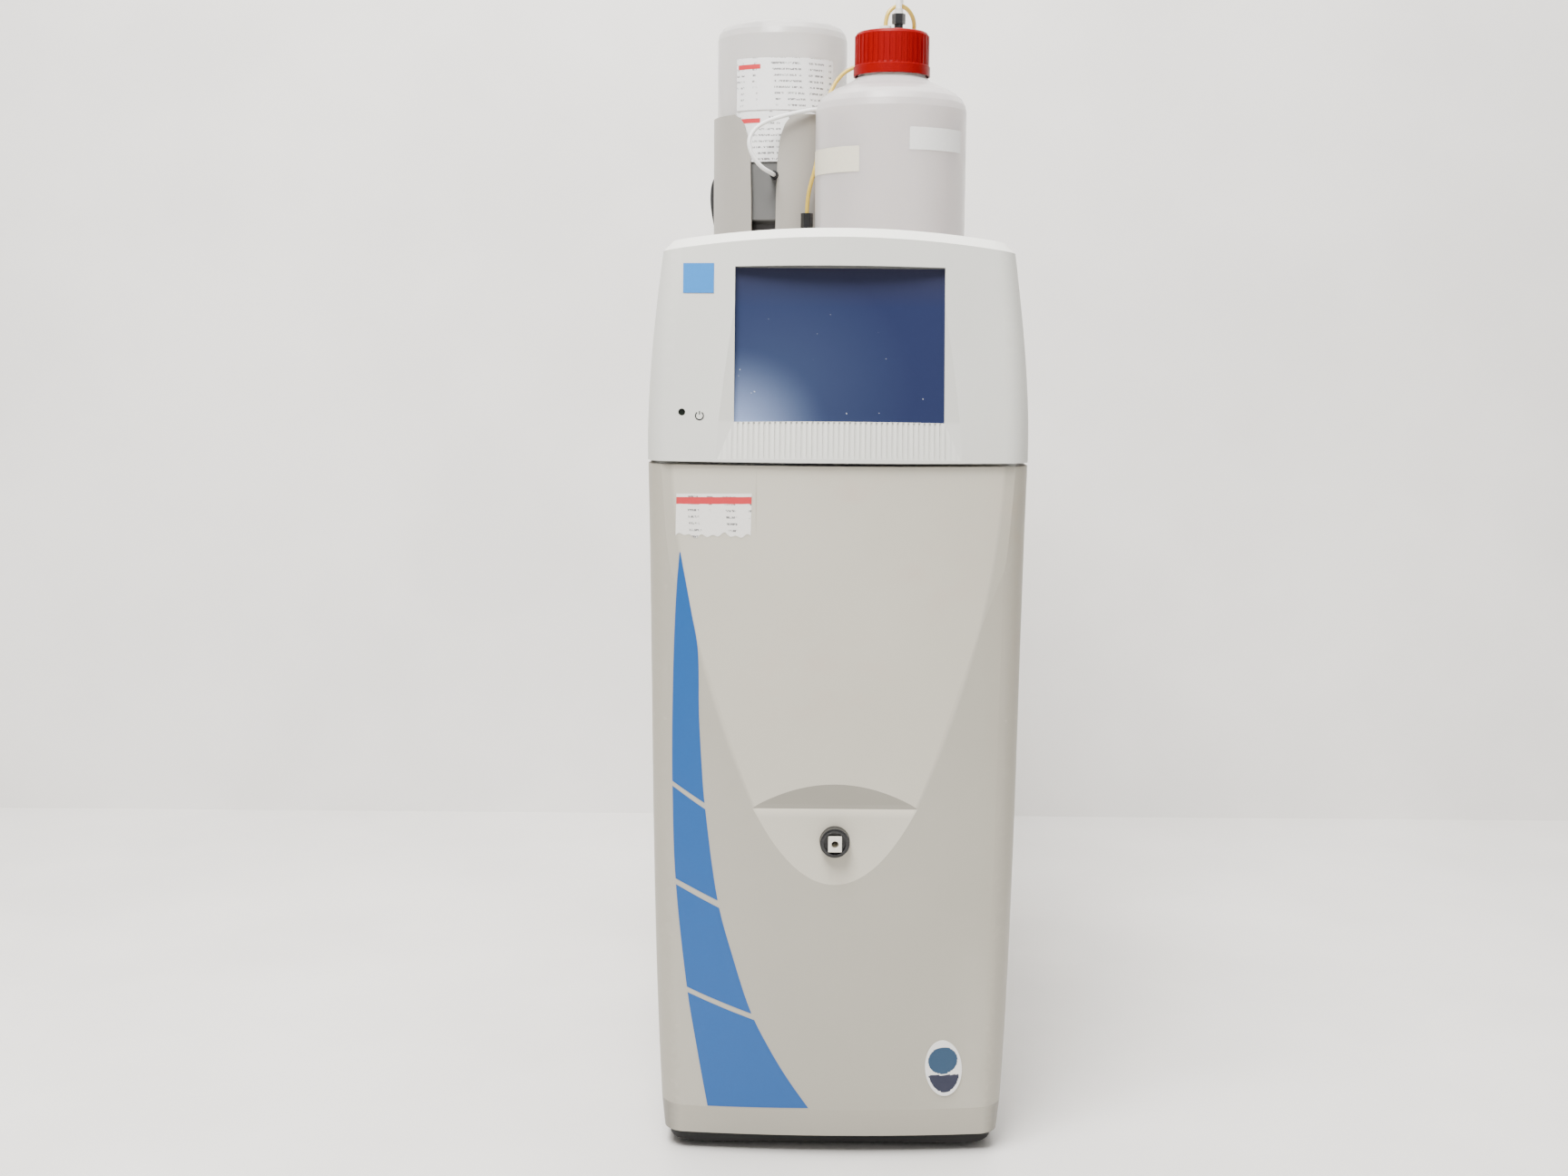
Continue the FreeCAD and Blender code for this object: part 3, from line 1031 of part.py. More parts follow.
def door_shell():
    """Moulded door: a bowed loft with a tucked lip, a slanting facet and a scooped port recess."""
    crease = "(Size.door_low + Size.lip_rise)"
    body = doc.addObject("PartDesign::Body", "door_outer")
    sections = door_sections(body, "door_section", "0", crease, DOOR_TOP, DOOR_BACK)
    lofted(body, "door_loft", sections)
    foot = plan_section(body, "door_foot_section", "Size.door_low", "Size.foot_width / 2",
                        f"{FRONT} + Size.lip_set + Size.lip_tuck", "Size.lip_bow - 3", "Size.door_corner - 4", DOOR_BACK)
    lip = plan_section(body, "door_lip_section", crease, "Size.lip_width / 2",
                       f"{FRONT} + Size.lip_set", "Size.lip_bow", "Size.door_corner", DOOR_BACK)
    lofted(body, "door_lip", [foot, lip])
    facet = doc.addObject("Part::Cylinder", "door_facet")
    lean = math.tan(math.radians(value("Size.facet_lean")))
    upward = V(0, lean, 1)
    height = 900
    start = V(0, value(f"{FRONT} + Size.facet_radius"), value("Size.facet_height")) - upward * (height / 2)
    facet.Height = height
    facet.Placement = FreeCAD.Placement(start, FreeCAD.Rotation(V(0, 0, 1), upward))
    bind(facet, {"Radius": "Size.facet_radius"})
    skin = common("door_skin", body, facet)
    inside = doc.addObject("PartDesign::Body", "door_inside")
    inner = door_sections(inside, "door_inner", "Size.shell", "Size.door_low + Size.lip_rise + 2",
                          f"{DOOR_TOP} - Size.shell", f"{DOOR_BACK} + 5")
    lofted(inside, "door_inner_loft", inner)
    boss = box("scoop_boss", ("-Size.scoop_width / 2", f"{FRONT} - 5", "Size.scoop_low - 8"),
               ("Size.scoop_width", "5 + Size.scoop_depth + Size.shell",
                "Size.scoop_top - Size.scoop_low + 16"))
    hollow = cut("door_hollow", inside, boss)
    toe = box("door_toe_hollow", ("4 - Size.foot_width / 2", f"{FRONT} + Size.lip_set + Size.lip_tuck + 14",
                                  "Size.door_low + Size.shell"),
              ("Size.foot_width - 8", "Size.door_depth", "Size.lip_rise"))
    bore = rod("port_bore", ("Size.port_x", FRONT, "Size.port_z"), "5", "40", "y")
    seat = rod("port_seat", ("Size.port_x", f"{FRONT} - 10", "Size.port_z"), "Size.port_radius + Size.ease",
               "10 + Size.port_seat", "y")
    cut("door_shell", skin, hollow, toe, scoop(), seat, bore)


def scoop():
    """Two slopes that meet in a soft fold; on the bowed face they leave an arched, pointed recess."""
    deep = f"({FRONT} + Size.scoop_depth)"
    return padded("scoop_slopes", "YZ", "-Size.scoop_width / 2", [
        (FRONT, "Size.scoop_low"), (f"{deep} - 0.3", "Size.scoop_fold - 4"), (deep, "Size.scoop_fold"),
        (f"{deep} - 0.4", "Size.scoop_fold + 2.8"), (FRONT, "Size.scoop_top"),
        (f"{FRONT} - 9", "Size.scoop_top + 6"), (f"{FRONT} - 9", "Size.scoop_low - 6")], "Size.scoop_width")


def door_parts():
    """Inner liner, injection port, luer fitting, hinge leaves and catch plate."""
    def inner(width):
        """Half of the room inside the shell at a named width."""
        return f"(Size.{width} / 2 - Size.shell - Size.ease)"

    padded("door_liner", "XZ", f"-({LINER_BACK})", [
        (f"-{inner('lip_width')}", "Size.door_low + Size.lip_rise + 3"),
        (inner("lip_width"), "Size.door_low + Size.lip_rise + 3"),
        (inner("low_width"), "Size.low_height"), (inner("mid_width"), "Size.mid_height"),
        (inner("top_width"), f"{DOOR_TOP} - Size.shell - Size.ease"),
        (f"-{inner('top_width')}", f"{DOOR_TOP} - Size.shell - Size.ease"),
        (f"-{inner('mid_width')}", "Size.mid_height"), (f"-{inner('low_width')}", "Size.low_height")], "1.5")
    seat = f"({FRONT} + Size.port_seat)"

    def spot(ahead):
        """A point on the port's axis, at a distance before its seat."""
        return ("Size.port_x", f"{seat} - ({ahead})", "Size.port_z")

    disc = rod("port_disc", spot("6"), "Size.port_radius", "6", "y")
    rim = rod("port_rim", spot("7.2"), "Size.port_radius - 1", "2", "y")
    dish = rod("port_dish", spot("8"), "Size.port_radius - 2.2", "3", "y")
    shank = rod("port_shank", spot("0"), "4.9", "Size.shell + 8", "y")
    nut = hexagon("port_nut", spot("Size.port_seat - Size.scoop_depth - Size.shell"), "7.5", "4", "y")
    core = rod("port_core", spot("9"), "Size.luer_radius + 1", "40", "y")
    cut("injection_port", fuse("port_body", cut("port_face", fuse("port_front", disc, rim), dish), shank,
                               nut), core)
    barrel = rod("luer_barrel", spot("8"), "Size.luer_radius + 1 - Size.running", "19", "y")
    head = box("luer_head", ("Size.port_x - 4", f"{seat} - 9", "Size.port_z - 4.5"), ("8", "4", "9"))
    bore = rod("luer_bore", spot("12"), "Size.luer_radius", "24", "y")
    cut("luer_fitting", fuse("luer_body", barrel, head), bore)
    box("catch_plate", (f"{inner('mid_width')} - 26", LINER_BACK, "Size.mid_height - 14"), ("22", "2", "28"))


def hinge_spots():
    """Low height of each of the two door hinges."""
    return [("low", "Size.hinge_low"), ("high", "Size.hinge_high")]


def door_hinges():
    """Butt hinges at the door's left edge: leaves and knuckles on the door and on the cabinet."""
    third = "(Size.hinge_length / 3)"
    doors, frames = [], []
    for name, low in hinge_spots():
        middle = f"({low} + {third} + Size.ease / 2)"
        tall = f"({third} - Size.ease)"
        leaf = box(f"door_leaf_{name}", (f"{HINGE_X} + 2", LINER_BACK, middle), ("Size.hinge_leaf", "1.5",
                                                                                 tall))
        arm = box(f"door_arm_{name}", (f"{HINGE_X} + 2", LINER_BACK, middle),
                  ("2.6", f"{HINGE_Y} + 1 - {LINER_BACK}", tall))
        web = box(f"door_web_{name}", (HINGE_X, f"{HINGE_Y} - 1", middle), ("4", "2", tall))
        ring = rod(f"door_ring_{name}", (HINGE_X, HINGE_Y, middle), KNUCKLE, tall)
        bore = rod(f"door_bore_{name}", (HINGE_X, HINGE_Y, low), "Size.hinge_pin + Size.running",
                   "Size.hinge_length")
        doors.append(cut(f"door_hinge_{name}", fuse(f"door_hinge_whole_{name}", leaf, arm, web, ring), bore))
        ears = []
        for i, ear_low in enumerate((low, f"({low} + 2 * {third})")):
            ears.append(rod(f"frame_ring_{name}_{i}", (HINGE_X, HINGE_Y, ear_low), KNUCKLE, third))
            ears.append(box(f"frame_arm_{name}_{i}", (HINGE_X, f"{HINGE_Y} - 0.6", ear_low),
                            ("3", f"{CASE_FRONT} - {HINGE_Y} + 0.6", third)))
        plate = box(f"frame_leaf_{name}", (f"{HINGE_X} + 2.2", f"{CASE_FRONT} - 1.5", low),
                    ("Size.hinge_leaf - 6", "1.5", "Size.hinge_length"))
        pin = rod(f"door_pin_{name}", (HINGE_X, HINGE_Y, low), "Size.hinge_pin", "Size.hinge_length")
        frames.append(fuse(f"frame_hinge_{name}", plate, pin, *ears))
    group("door_hinge_leaves", *doors)
    group("frame_hinge_leaves", *frames)
    box("door_catch", ("Size.mid_width / 2 - Size.shell - Size.ease - 25", f"{LINER_BACK} + 2 + Size.ease",
                       "Size.mid_height - 11"),
        ("14", f"{CASE_FRONT} - {LINER_BACK} - 2 - Size.ease", "22"))


def hood_sections(body, name, inset):
    """Plan sections of the hood, or of its inside when inset is the wall."""
    lean = "tan(Size.hood_lean)"
    end_height = "(Size.hood_top - Size.hood_drop)"
    heights = [HOOD_LOW, f"({HOOD_LOW} + 35)", f"({end_height} - 53)", f"({end_height} - 20)",
               "(Size.hood_top + 4)"]
    widths = ["Size.top_width", "Size.hood_width", "Size.hood_high_width", "(Size.hood_end_width + 6.2)",
              "(Size.hood_end_width - 1.6)"]
    rows = []
    for i, (height, width) in enumerate(zip(heights, widths)):
        drawn = f"{height} - 1" if inset != "0" and i == 0 else height
        crown = f"{FRONT} + ({height} - {HOOD_LOW}) * {lean} + {inset}"
        rows.append(plan_section(body, f"{name}_{i}", drawn, f"{width} / 2 - {inset}", crown,
                                 "Size.mid_bow - 2", f"Size.door_corner - {inset}", f"{HOOD_BACK} - {inset}"))
    return rows


def arch(label, top, radius_text):
    """Long bar whose round top gives the hood its arched crown."""
    return rod(label, ("0", f"{FRONT} - 20", f"{top} - {radius_text}"), radius_text, "Size.hood_depth + 60",
               "y")


def on_crown(edge):
    """Whether an edge runs along the hood's top, over its front or sides."""
    box_of = edge.BoundBox
    level = box_of.XLength + box_of.YLength > 3
    return level and box_of.ZMin > value("Size.hood_top - 14") and box_of.YMin < value(FRONT) + 60


def hood_shell():
    """Moulded display hood: a leaning bowed loft, an arched top, a screen window and a ribbed ramp."""
    reach = "(Size.hood_end_width / 2)"
    crown = f"(({reach}^2 + Size.hood_drop^2) / (2 * Size.hood_drop))"
    body = doc.addObject("PartDesign::Body", "hood_outer")
    lofted(body, "hood_loft", hood_sections(body, "hood_section", "0"))
    arched_block = common("hood_arched", body, arch("hood_arch", "Size.hood_top", crown))
    outer = soften("hood_crowned", arched_block, "Size.crown_band", on_crown, "Part::Chamfer")
    inside = doc.addObject("PartDesign::Body", "hood_inside")
    lofted(inside, "hood_inner_loft", hood_sections(inside, "hood_inner", "Size.shell"))
    arched = common("hood_arched_room", inside, arch("hood_inner_arch", "(Size.hood_top - Size.shell)",
                                                     crown))
    boss = slab("screen_boss", "-20", "(Size.surround_sink + Size.shell + 20)", "Size.boss_width",
                "(Size.screen_height + 20)", "-6")
    room = cut("hood_room", arched, boss)
    step = box("hood_step_cut", (f"-{HALF} - 20", DOOR_BACK, f"{HOOD_LOW} - 5"),
               (f"2 * {HALF} + 40", "Size.hood_depth", f"Size.hood_step - {HOOD_LOW} + 5"))
    notches = [box(f"ear_notch_{side}", (f"{side} * Size.ear_x - 11", f"{HOOD_BACK} - Size.shell - 2",
                                         "Size.hood_step - 1"),
                   ("22", "Size.shell + 4", "29")) for side in (-1, 1)]
    shell = cut("hood_hollowed", outer, room, step, *notches)
    lugs = []
    for side in (-1, 1):
        x = f"{side} * (Size.ear_x + Size.ear_thick + 1) - 1.5"
        lug = box(f"hood_lug_{side}", (x, f"{TILT_Y} - 6", "Size.tilt_height - 6"),
                  ("3", "12", "Size.hood_top - Size.tilt_height + 6"))
        lugs.append(lug)
    trimmed = common("hood_lugs", fuse("hood_lug_pair", *lugs), outer)
    bores = [rod(f"lug_bore_{side}", (f"{side} * (Size.ear_x + Size.ear_thick + 1) - 4", TILT_Y,
                                      "Size.tilt_height"),
                 "Size.tilt_pin", "8", "x") for side in (-1, 1)]
    window = slab("screen_window", "-20", "60", "Size.screen_width", "Size.screen_height", "0")
    lamp = rod("lamp_hole", ("Size.lamp_x", f"{FRONT} - 10", "Size.lamp_z"), "2.1", "40", "y")
    panel_room = slab("panel_room", "(Size.surround_sink + Size.shell)", "14",
                      "Size.screen_width + 12 + Size.ease * 2",
                      "Size.screen_height + 8 + Size.ease * 2", "0")
    cut("hood_shell", fuse("hood_with_lugs", shell, trimmed), window, lamp, panel_room, *surround(), *bores)


def tilted_face():
    """A function that gives the Y and Z of a point a little behind the leaning face of the hood."""
    def spot(behind, along):
        """Y and Z of a point at a distance behind the face and along it from the screen's middle."""
        base_y = f"({FRONT} + (Size.screen_mid - {HOOD_LOW}) * tan(Size.hood_lean))"
        y = f"{base_y} + {behind} * cos(Size.hood_lean) + ({along}) * sin(Size.hood_lean)"
        z = f"Size.screen_mid - {behind} * sin(Size.hood_lean) + ({along}) * cos(Size.hood_lean)"
        return y, z
    return spot


def slab(label, behind, thick, width, height, along, across="0"):
    """A block that leans with the hood's face, placed from the screen's middle."""
    item = doc.addObject("Part::Box", label)
    bind(item, {"Length": width, "Width": thick, "Height": height})
    item.Placement = FreeCAD.Placement(V(), FreeCAD.Rotation(V(1, 0, 0), -value("Size.hood_lean")))
    y, z = tilted_face()(behind, f"{along} - ({height}) / 2")
    return put(item, (f"{across} - ({width}) / 2", y, z))


def apron(label, deeper):
    """Bowed body under the screen that leans out until it meets the hood's own bowed face."""
    bow = "(Size.mid_bow - 2)"
    radius = f"((Size.top_width^2 / 4 + {bow}^2) / (2 * {bow}))"
    item = doc.addObject("Part::Cylinder", label)
    turn = -value("Size.hood_lean + Size.apron_lean")
    item.Placement = FreeCAD.Placement(V(), FreeCAD.Rotation(V(1, 0, 0), turn))
    bind(item, {"Radius": radius, "Height": "Size.ramp_drop * 4"})
    low = "(Size.screen_height / 2 + Size.ramp_drop * 2)"
    y, z = tilted_face()(f"({radius} * cos(Size.apron_lean) - Size.ramp_drop * sin(Size.apron_lean) + {deeper})",
                         f"(-{low} - {radius} * sin(Size.apron_lean))")
    return put(item, ("0", y, z))


def surround():
    """Flat surround cut into the bowed face, and the ribbed apron that rises to the face below."""
    face = tilted_face()
    low = "(-Size.screen_height / 2)"
    below = f"({low} - Size.ramp_drop)"
    deep = "(Size.surround_sink + 0.2)"
    high = "(Size.screen_height / 2 + 0.01)"
    around = padded("surround_plane", "YZ", "-Size.boss_width / 2", [
        face("Size.screen_sink", high), face("Size.surround_sink", low), face("-20", low), face("-20", high)],
        "Size.boss_width")
    under = padded("apron_plane", "YZ", "-Size.boss_width / 2", [
        face("Size.surround_sink", low), face(deep, below), face("-20", below), face("-20", low)],
        "Size.boss_width")
    smooth = cut("apron_hollow", under, apron("apron_face", "0"))
    count = int(value("Size.ramp_width / Size.rib_pitch / 2"))
    grooves = [slab(f"rib_groove_{i}", "-20", "30", "Size.rib_groove", "Size.ramp_drop - 0.6",
                    f"({low} - Size.ramp_drop / 2)", f"{i} * Size.rib_pitch") for i in range(-count,
                                                                                             count + 1)]
    comb = cut("rib_comb", common("rib_grooves", group("rib_blocks", *grooves), under),
               apron("rib_floor", "Size.rib_depth"))
    return [around, smooth, comb]


def hood_parts():
    """Screen, display board, power lamp, tilt pins and the brackets that carry them."""
    seat = "(Size.surround_sink + Size.shell)"
    slab("lcd_panel", seat, "9", "Size.screen_width + 12", "Size.screen_height + 8", "0")
    slab("display_board", f"({seat} + 9)", "1.6", "Size.screen_width + 6", "Size.screen_height + 4", "0")
    rod("power_lamp", ("Size.lamp_x", f"{FRONT} + Size.lamp_back", "Size.lamp_z"), "2.05", "9", "y")
    pins, brackets = [], []
    for side in (-1, 1):
        inner = f"{side} * Size.ear_x - Size.ear_thick / 2"
        start = f"{inner} - 2" if side > 0 else f"{inner} - 5.5"
        pins.append(rod(f"tilt_pin_{side}", (start, TILT_Y, "Size.tilt_height"), "Size.tilt_pin",
                        "Size.ear_thick + 7.5", "x"))
        plate = box(f"ear_plate_{side}", (inner, f"{TILT_Y} - 6", "Size.deck_height"),
                    ("Size.ear_thick", "12", "Size.tilt_height - Size.deck_height"))
        crown = rod(f"ear_crown_{side}", (inner, TILT_Y, "Size.tilt_height"), "6", "Size.ear_thick", "x")
        foot = box(f"ear_foot_{side}", (f"{side} * Size.ear_x - 8", f"{TILT_Y} - 12", "Size.deck_height"),
                   ("16", "18", "2"))
        bore = rod(f"ear_bore_{side}", (f"{inner} - 1", TILT_Y, "Size.tilt_height"),
                   "Size.tilt_pin + Size.running",
                   "Size.ear_thick + 2", "x")
        brackets.append(cut(f"hood_bracket_{side}", fuse(f"ear_whole_{side}", plate, crown, foot), bore))
    group("hood_hinge_pins", *pins)
    group("hood_hinge_brackets", *brackets)


NODES = [
    "base_pan", "rubber_feet", "left_side_panel", "right_side_panel", "rear_panel", "reservoir_tray",
    "tray_grommets", "component_bay", "drip_tray", "pump_housing", "primary_pump_head", "secondary_pump_head",
    "check_valves", "pressure_transducer", "waste_valve_knob", "priming_valve_knob",
    "injection_valve", "valve_actuator", "sample_loop", "column_heater", "separator_column", "guard_column",
    "column_clips", "suppressor", "conductivity_cell", "trap_column", "power_supply", "control_board",
    "fan_frame", "fan_rotor", "fan_guard", "power_inlet", "rocker_switch", "signal_connectors",
    "eluent_bottle", "bottle_stopper", "bottle_cap", "line_fittings", "cartridge_bottle", "cartridge_base",
    "cartridge_holder", "gas_line", "eluent_line", "feed_line", "cartridge_line", "cartridge_cable",
    "door_shell", "door_liner", "injection_port", "luer_fitting", "catch_plate", "door_hinge_leaves",
    "frame_hinge_leaves", "door_catch",
    "hood_shell", "lcd_panel", "display_board", "power_lamp", "hood_hinge_pins", "hood_hinge_brackets",
]


def build():
    """Make every sub-part in order."""
    base_pan()
    rubber_feet()
    side_panel(-1)
    side_panel(1)
    rear_panel()
    reservoir_tray()
    tray_grommets()
    component_bay()
    drip_tray()
    pump_parts()
    pressure_and_knobs()
    injection_parts()
    column_parts()
    electronics()
    bottle_parts()
    cartridge_parts()
    line_fittings()
    cords()
    door_shell()
    door_parts()
    door_hinges()
    hood_shell()
    hood_parts()
    doc.recompute()


def export():
    """Check every object and write each sub-part to its own file."""
    for item in doc.Objects:
        if "Invalid" in item.State or "Error" in item.State:
            raise RuntimeError(f"{item.Label} failed: {item.State}")
    os.makedirs("parts", exist_ok=True)
    for label in NODES:
        item = doc.getObjectsByLabel(label)[0]
        shape = item.Shape
        if shape.isNull() or not shape.isValid() or not shape.Solids:
            raise RuntimeError(f"{label} has no valid shape")
    for label in NODES:
        doc.getObjectsByLabel(label)[0].Shape.exportStep(f"parts/{label}.step")
    print(f"{len(NODES)} parts written")


build()
export()
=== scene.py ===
"""Looks of a benchtop ion chromatograph: cabinet, display hood, front door, bottles and tubes."""

import logging
import math
from dataclasses import dataclass
from enum import Enum
from functools import reduce
from typing import Callable, Sequence

import bmesh
import bpy
from mathutils import Matrix, Vector
from mathutils.bvhtree import BVHTree

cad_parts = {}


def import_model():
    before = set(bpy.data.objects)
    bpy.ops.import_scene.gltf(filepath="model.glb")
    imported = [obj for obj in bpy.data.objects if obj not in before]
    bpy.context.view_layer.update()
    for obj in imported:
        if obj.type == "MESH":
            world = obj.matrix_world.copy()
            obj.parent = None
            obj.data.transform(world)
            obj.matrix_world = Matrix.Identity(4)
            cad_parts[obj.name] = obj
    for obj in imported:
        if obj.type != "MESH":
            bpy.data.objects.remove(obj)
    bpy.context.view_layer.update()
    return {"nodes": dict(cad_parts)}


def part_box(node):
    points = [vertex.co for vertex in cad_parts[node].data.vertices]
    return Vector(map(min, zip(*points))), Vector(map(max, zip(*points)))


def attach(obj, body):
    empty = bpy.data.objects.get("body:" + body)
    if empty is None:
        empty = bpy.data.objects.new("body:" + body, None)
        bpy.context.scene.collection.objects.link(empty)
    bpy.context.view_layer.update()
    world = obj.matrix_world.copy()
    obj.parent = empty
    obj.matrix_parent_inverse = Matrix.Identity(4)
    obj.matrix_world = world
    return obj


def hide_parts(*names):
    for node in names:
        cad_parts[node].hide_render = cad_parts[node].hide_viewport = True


LOG = logging.getLogger("ion_chromatograph")
MM = 0.001

Colour = tuple[float, float, float]
Spot = tuple[float, float, float]
Span = tuple[float, float]
Edge = Sequence[Span]
Socket = bpy.types.NodeSocket
Mesh = bmesh.types.BMesh


class Body(Enum):
    """Rigid bodies that pieces of the scene ride on."""

    CABINET = "cabinet"
    DOOR = "door"
    HOOD = "hood"


class Slot(Enum):
    """Material slots of the record, listed with each line."""

    PAPER = "stopper_white"
    PRINT = "suppressor_blue"
    STEEL = "steel_part"
    CLEAR_TUBE = "tube_white"
    YELLOW_TUBE = "tube_yellow"
    CABLE = "cable_black"
    BLACK = "black_plastic"


# Shader building

NOISE_SPREAD: Span = (0.3, 0.7)
MIX_INPUTS = (0, 6, 7)
MIX_RESULT = 2


class Graph:
    """A material's node tree, with short calls for the nodes that the finishes use."""

    def __init__(self, name: str) -> None:
        """Start an empty material with a principled shader.

        Args:
            name: Name of the material.
        """
        self.material = bpy.data.materials.new(name)
        self.material.use_nodes = True
        self.tree = self.material.node_tree
        self.tree.nodes.clear()
        self.shader = self.node("BsdfPrincipled")
        output = self.node("OutputMaterial")
        self.wire(self.shader.outputs[0], output.inputs[0])
        self.point = self.node("TexCoord")
        self.place = self.point.outputs["Object"]

    def set(self, **values: float | Colour) -> None:
        """Set plain values on the shader's own sockets, named with underscores for spaces."""
        for key, value in values.items():
            socket = self.shader.inputs[key.replace("_", " ")]
            if isinstance(value, tuple) and socket.type == "RGBA":
                value = (*value, 1.0)
            socket.default_value = value

    def node(self, kind: str) -> bpy.types.Node:
        """A new shader node of a kind."""
        return self.tree.nodes.new(f"ShaderNode{kind}")

    def wire(self, source: Socket, target: Socket) -> None:
        """Link two sockets."""
        self.tree.links.new(source, target)

    def link(self, source: Socket, socket: str) -> None:
        """Feed one of the shader's sockets."""
        self.wire(source, self.shader.inputs[socket])

    def feed(self, colour: Socket) -> None:
        """Feed the shader's colour."""
        self.link(colour, "Base Color")

    def colour(self) -> Socket:
        """The socket that now feeds the shader's colour."""
        return self.shader.inputs["Base Color"].links[0].from_socket

    def texture(self, kind: str, scale: float, stretch: Spot | None = None) -> bpy.types.Node:
        """A texture on Object coordinates.

        Args:
            kind: Kind of texture node.
            scale: Waves or cells per metre.
            stretch: Factor on each axis, where there is one.

        Returns:
            The texture's node.
        """
        node = self.node(kind)
        node.inputs["Scale"].default_value = scale
        source = self.place
        if stretch is not None:
            mapping = self.node("Mapping")
            mapping.inputs["Scale"].default_value = stretch
            self.wire(self.place, mapping.inputs["Vector"])
            source = mapping.outputs["Vector"]
        self.wire(source, node.inputs["Vector"])
        return node

    def noise(self, scale: float, detail: float = 3.0, stretch: Spot | None = None) -> Socket:
        """The value of a noise with a number of octaves."""
        node = self.texture("TexNoise", scale, stretch)
        node.inputs["Detail"].default_value = detail
        return node.outputs["Fac"]

    def remap(self, value: Socket, low: float, high: float,
              to_low: float = 0.0, to_high: float = 1.0) -> Socket:
        """A value clamped and carried from one range to another.

        Args:
            value: Value to carry.
            low: Start of its range.
            high: End of its range.
            to_low: Result at the start.
            to_high: Result at the end.

        Returns:
            The result.
        """
        node = self.node("MapRange")
        node.clamp = True
        for socket, number in zip(("From Min", "From Max", "To Min", "To Max"), (low, high, to_low, to_high)):
            node.inputs[socket].default_value = number
        self.wire(value, node.inputs["Value"])
        return node.outputs["Result"]

    def math(self, operation: str, a: Socket | float, b: Socket | float = 0.0) -> Socket:
        """One arithmetic step.

        Args:
            operation: Blender's name of the step.
            a: First value.
            b: Second value, where the step has one.

        Returns:
            The result.
        """
        node = self.node("Math")
        node.operation = operation
        for socket, part in zip(node.inputs, (a, b)):
            if isinstance(part, (int, float)):
                socket.default_value = part
            else:
                self.wire(part, socket)
        return node.outputs[0]

    def times(self, *parts: Socket | float) -> Socket:
        """The product of two or more values."""
        return reduce(lambda a, b: self.math("MULTIPLY", a, b), parts)

    def mix(self, factor: Socket | float, a: Socket | Colour, b: Socket | Colour) -> Socket:
        """A blend of two colours.

        Args:
            factor: Share of the second colour.
            a: First colour.
            b: Second colour.

        Returns:
            The blended colour.
        """
        node = self.node("Mix")
        node.data_type = "RGBA"
        for socket, part in zip((node.inputs[i] for i in MIX_INPUTS), (factor, a, b)):
            if isinstance(part, tuple):
                socket.default_value = (*part, 1.0)
            elif isinstance(part, (int, float)):
                socket.default_value = part
            else:
                self.wire(part, socket)
        return node.outputs[MIX_RESULT]

    def axis(self, name: str, normal: bool = False) -> Socket:
        """One coordinate of the point in metres, or one part of the surface's own normal."""
        node = self.node("SeparateXYZ")
        self.wire(self.point.outputs["Normal"] if normal else self.place, node.inputs[0])
        return node.outputs[name]

    def side(self, normal: bool = False) -> Socket:
        """How far the point, or the surface's own normal, is to either side."""
        return self.math("ABSOLUTE", self.axis("X", normal))

    def blob(self, centre: Spot, reach: Spot, core: float = 0.2) -> Socket:
        """A soft ellipsoid mask.

        Args:
            centre: Middle of the mask.
            reach: Half size along each axis.
            core: Share of the reach that the mask is full within.

        Returns:
            One in the middle and zero at the reach.
        """
        move = self.node("Mapping")
        move.vector_type = "TEXTURE"
        move.inputs["Location"].default_value = centre
        move.inputs["Scale"].default_value = reach
        self.wire(self.place, move.inputs["Vector"])
        length = self.node("VectorMath")
        length.operation = "LENGTH"
        self.wire(move.outputs[0], length.inputs[0])
        return self.remap(length.outputs["Value"], 1.0, core)

    def curve(self, value: Socket, stops: Edge) -> Socket:
        """A value carried through straight runs between stops.

        Args:
            value: Value from minus one to one.
            stops: Value and result of each stop, with results from zero to two.

        Returns:
            The result.
        """
        node = self.node("ValToRGB")
        ramp = node.color_ramp
        while len(ramp.elements) < len(stops):
            ramp.elements.new(1.0)
        for element, (at, result) in zip(ramp.elements, stops):
            element.position = (at + 1) / 2
            element.color = (result / 2, result / 2, result / 2, 1.0)
        self.wire(self.times(self.math("ADD", value, 1.0), 0.5), node.inputs[0])
        return self.times(node.outputs["Color"], 2.0)

    def tint(self, colour: Socket, factor: Socket) -> Socket:
        """A colour made lighter or darker by a factor."""
        node = self.node("VectorMath")
        node.operation = "SCALE"
        self.wire(colour, node.inputs[0])
        self.wire(factor, node.inputs["Scale"])
        return node.outputs["Vector"]

    def tone(self, mask: Socket, inside: float, outside: float = 1.0) -> Socket:
        """One factor inside a mask and another outside it."""
        return self.remap(mask, 0.0, 1.0, outside, inside)

    def mottle(self, value: Socket, colour: Colour, dark: float, light: float,
               spread: Span = NOISE_SPREAD) -> Socket:
        """A colour that goes from a darker to a lighter shade of itself with a noise."""
        return self.mix(self.remap(value, *spread), shade(colour, dark), shade(colour, light))

    def roughen(self, value: Socket, middle: float, less: float, more: float) -> None:
        """Let the roughness vary with a noise, from a little less than the middle to a little more."""
        self.link(self.remap(value, *NOISE_SPREAD, middle - less, middle + more), "Roughness")

    def bump(self, height: Socket, depth: float, strength: float) -> None:
        """Raise the surface by a height field of a given depth in metres."""
        node = self.node("Bump")
        node.inputs["Strength"].default_value = strength
        node.inputs["Distance"].default_value = depth
        self.wire(height, node.inputs["Height"])
        self.link(node.outputs[0], "Normal")


def shade(colour: Colour, factor: float) -> Colour:
    """A plain colour made lighter or darker by a factor."""
    return tuple(min(1.0, part * factor) for part in colour)


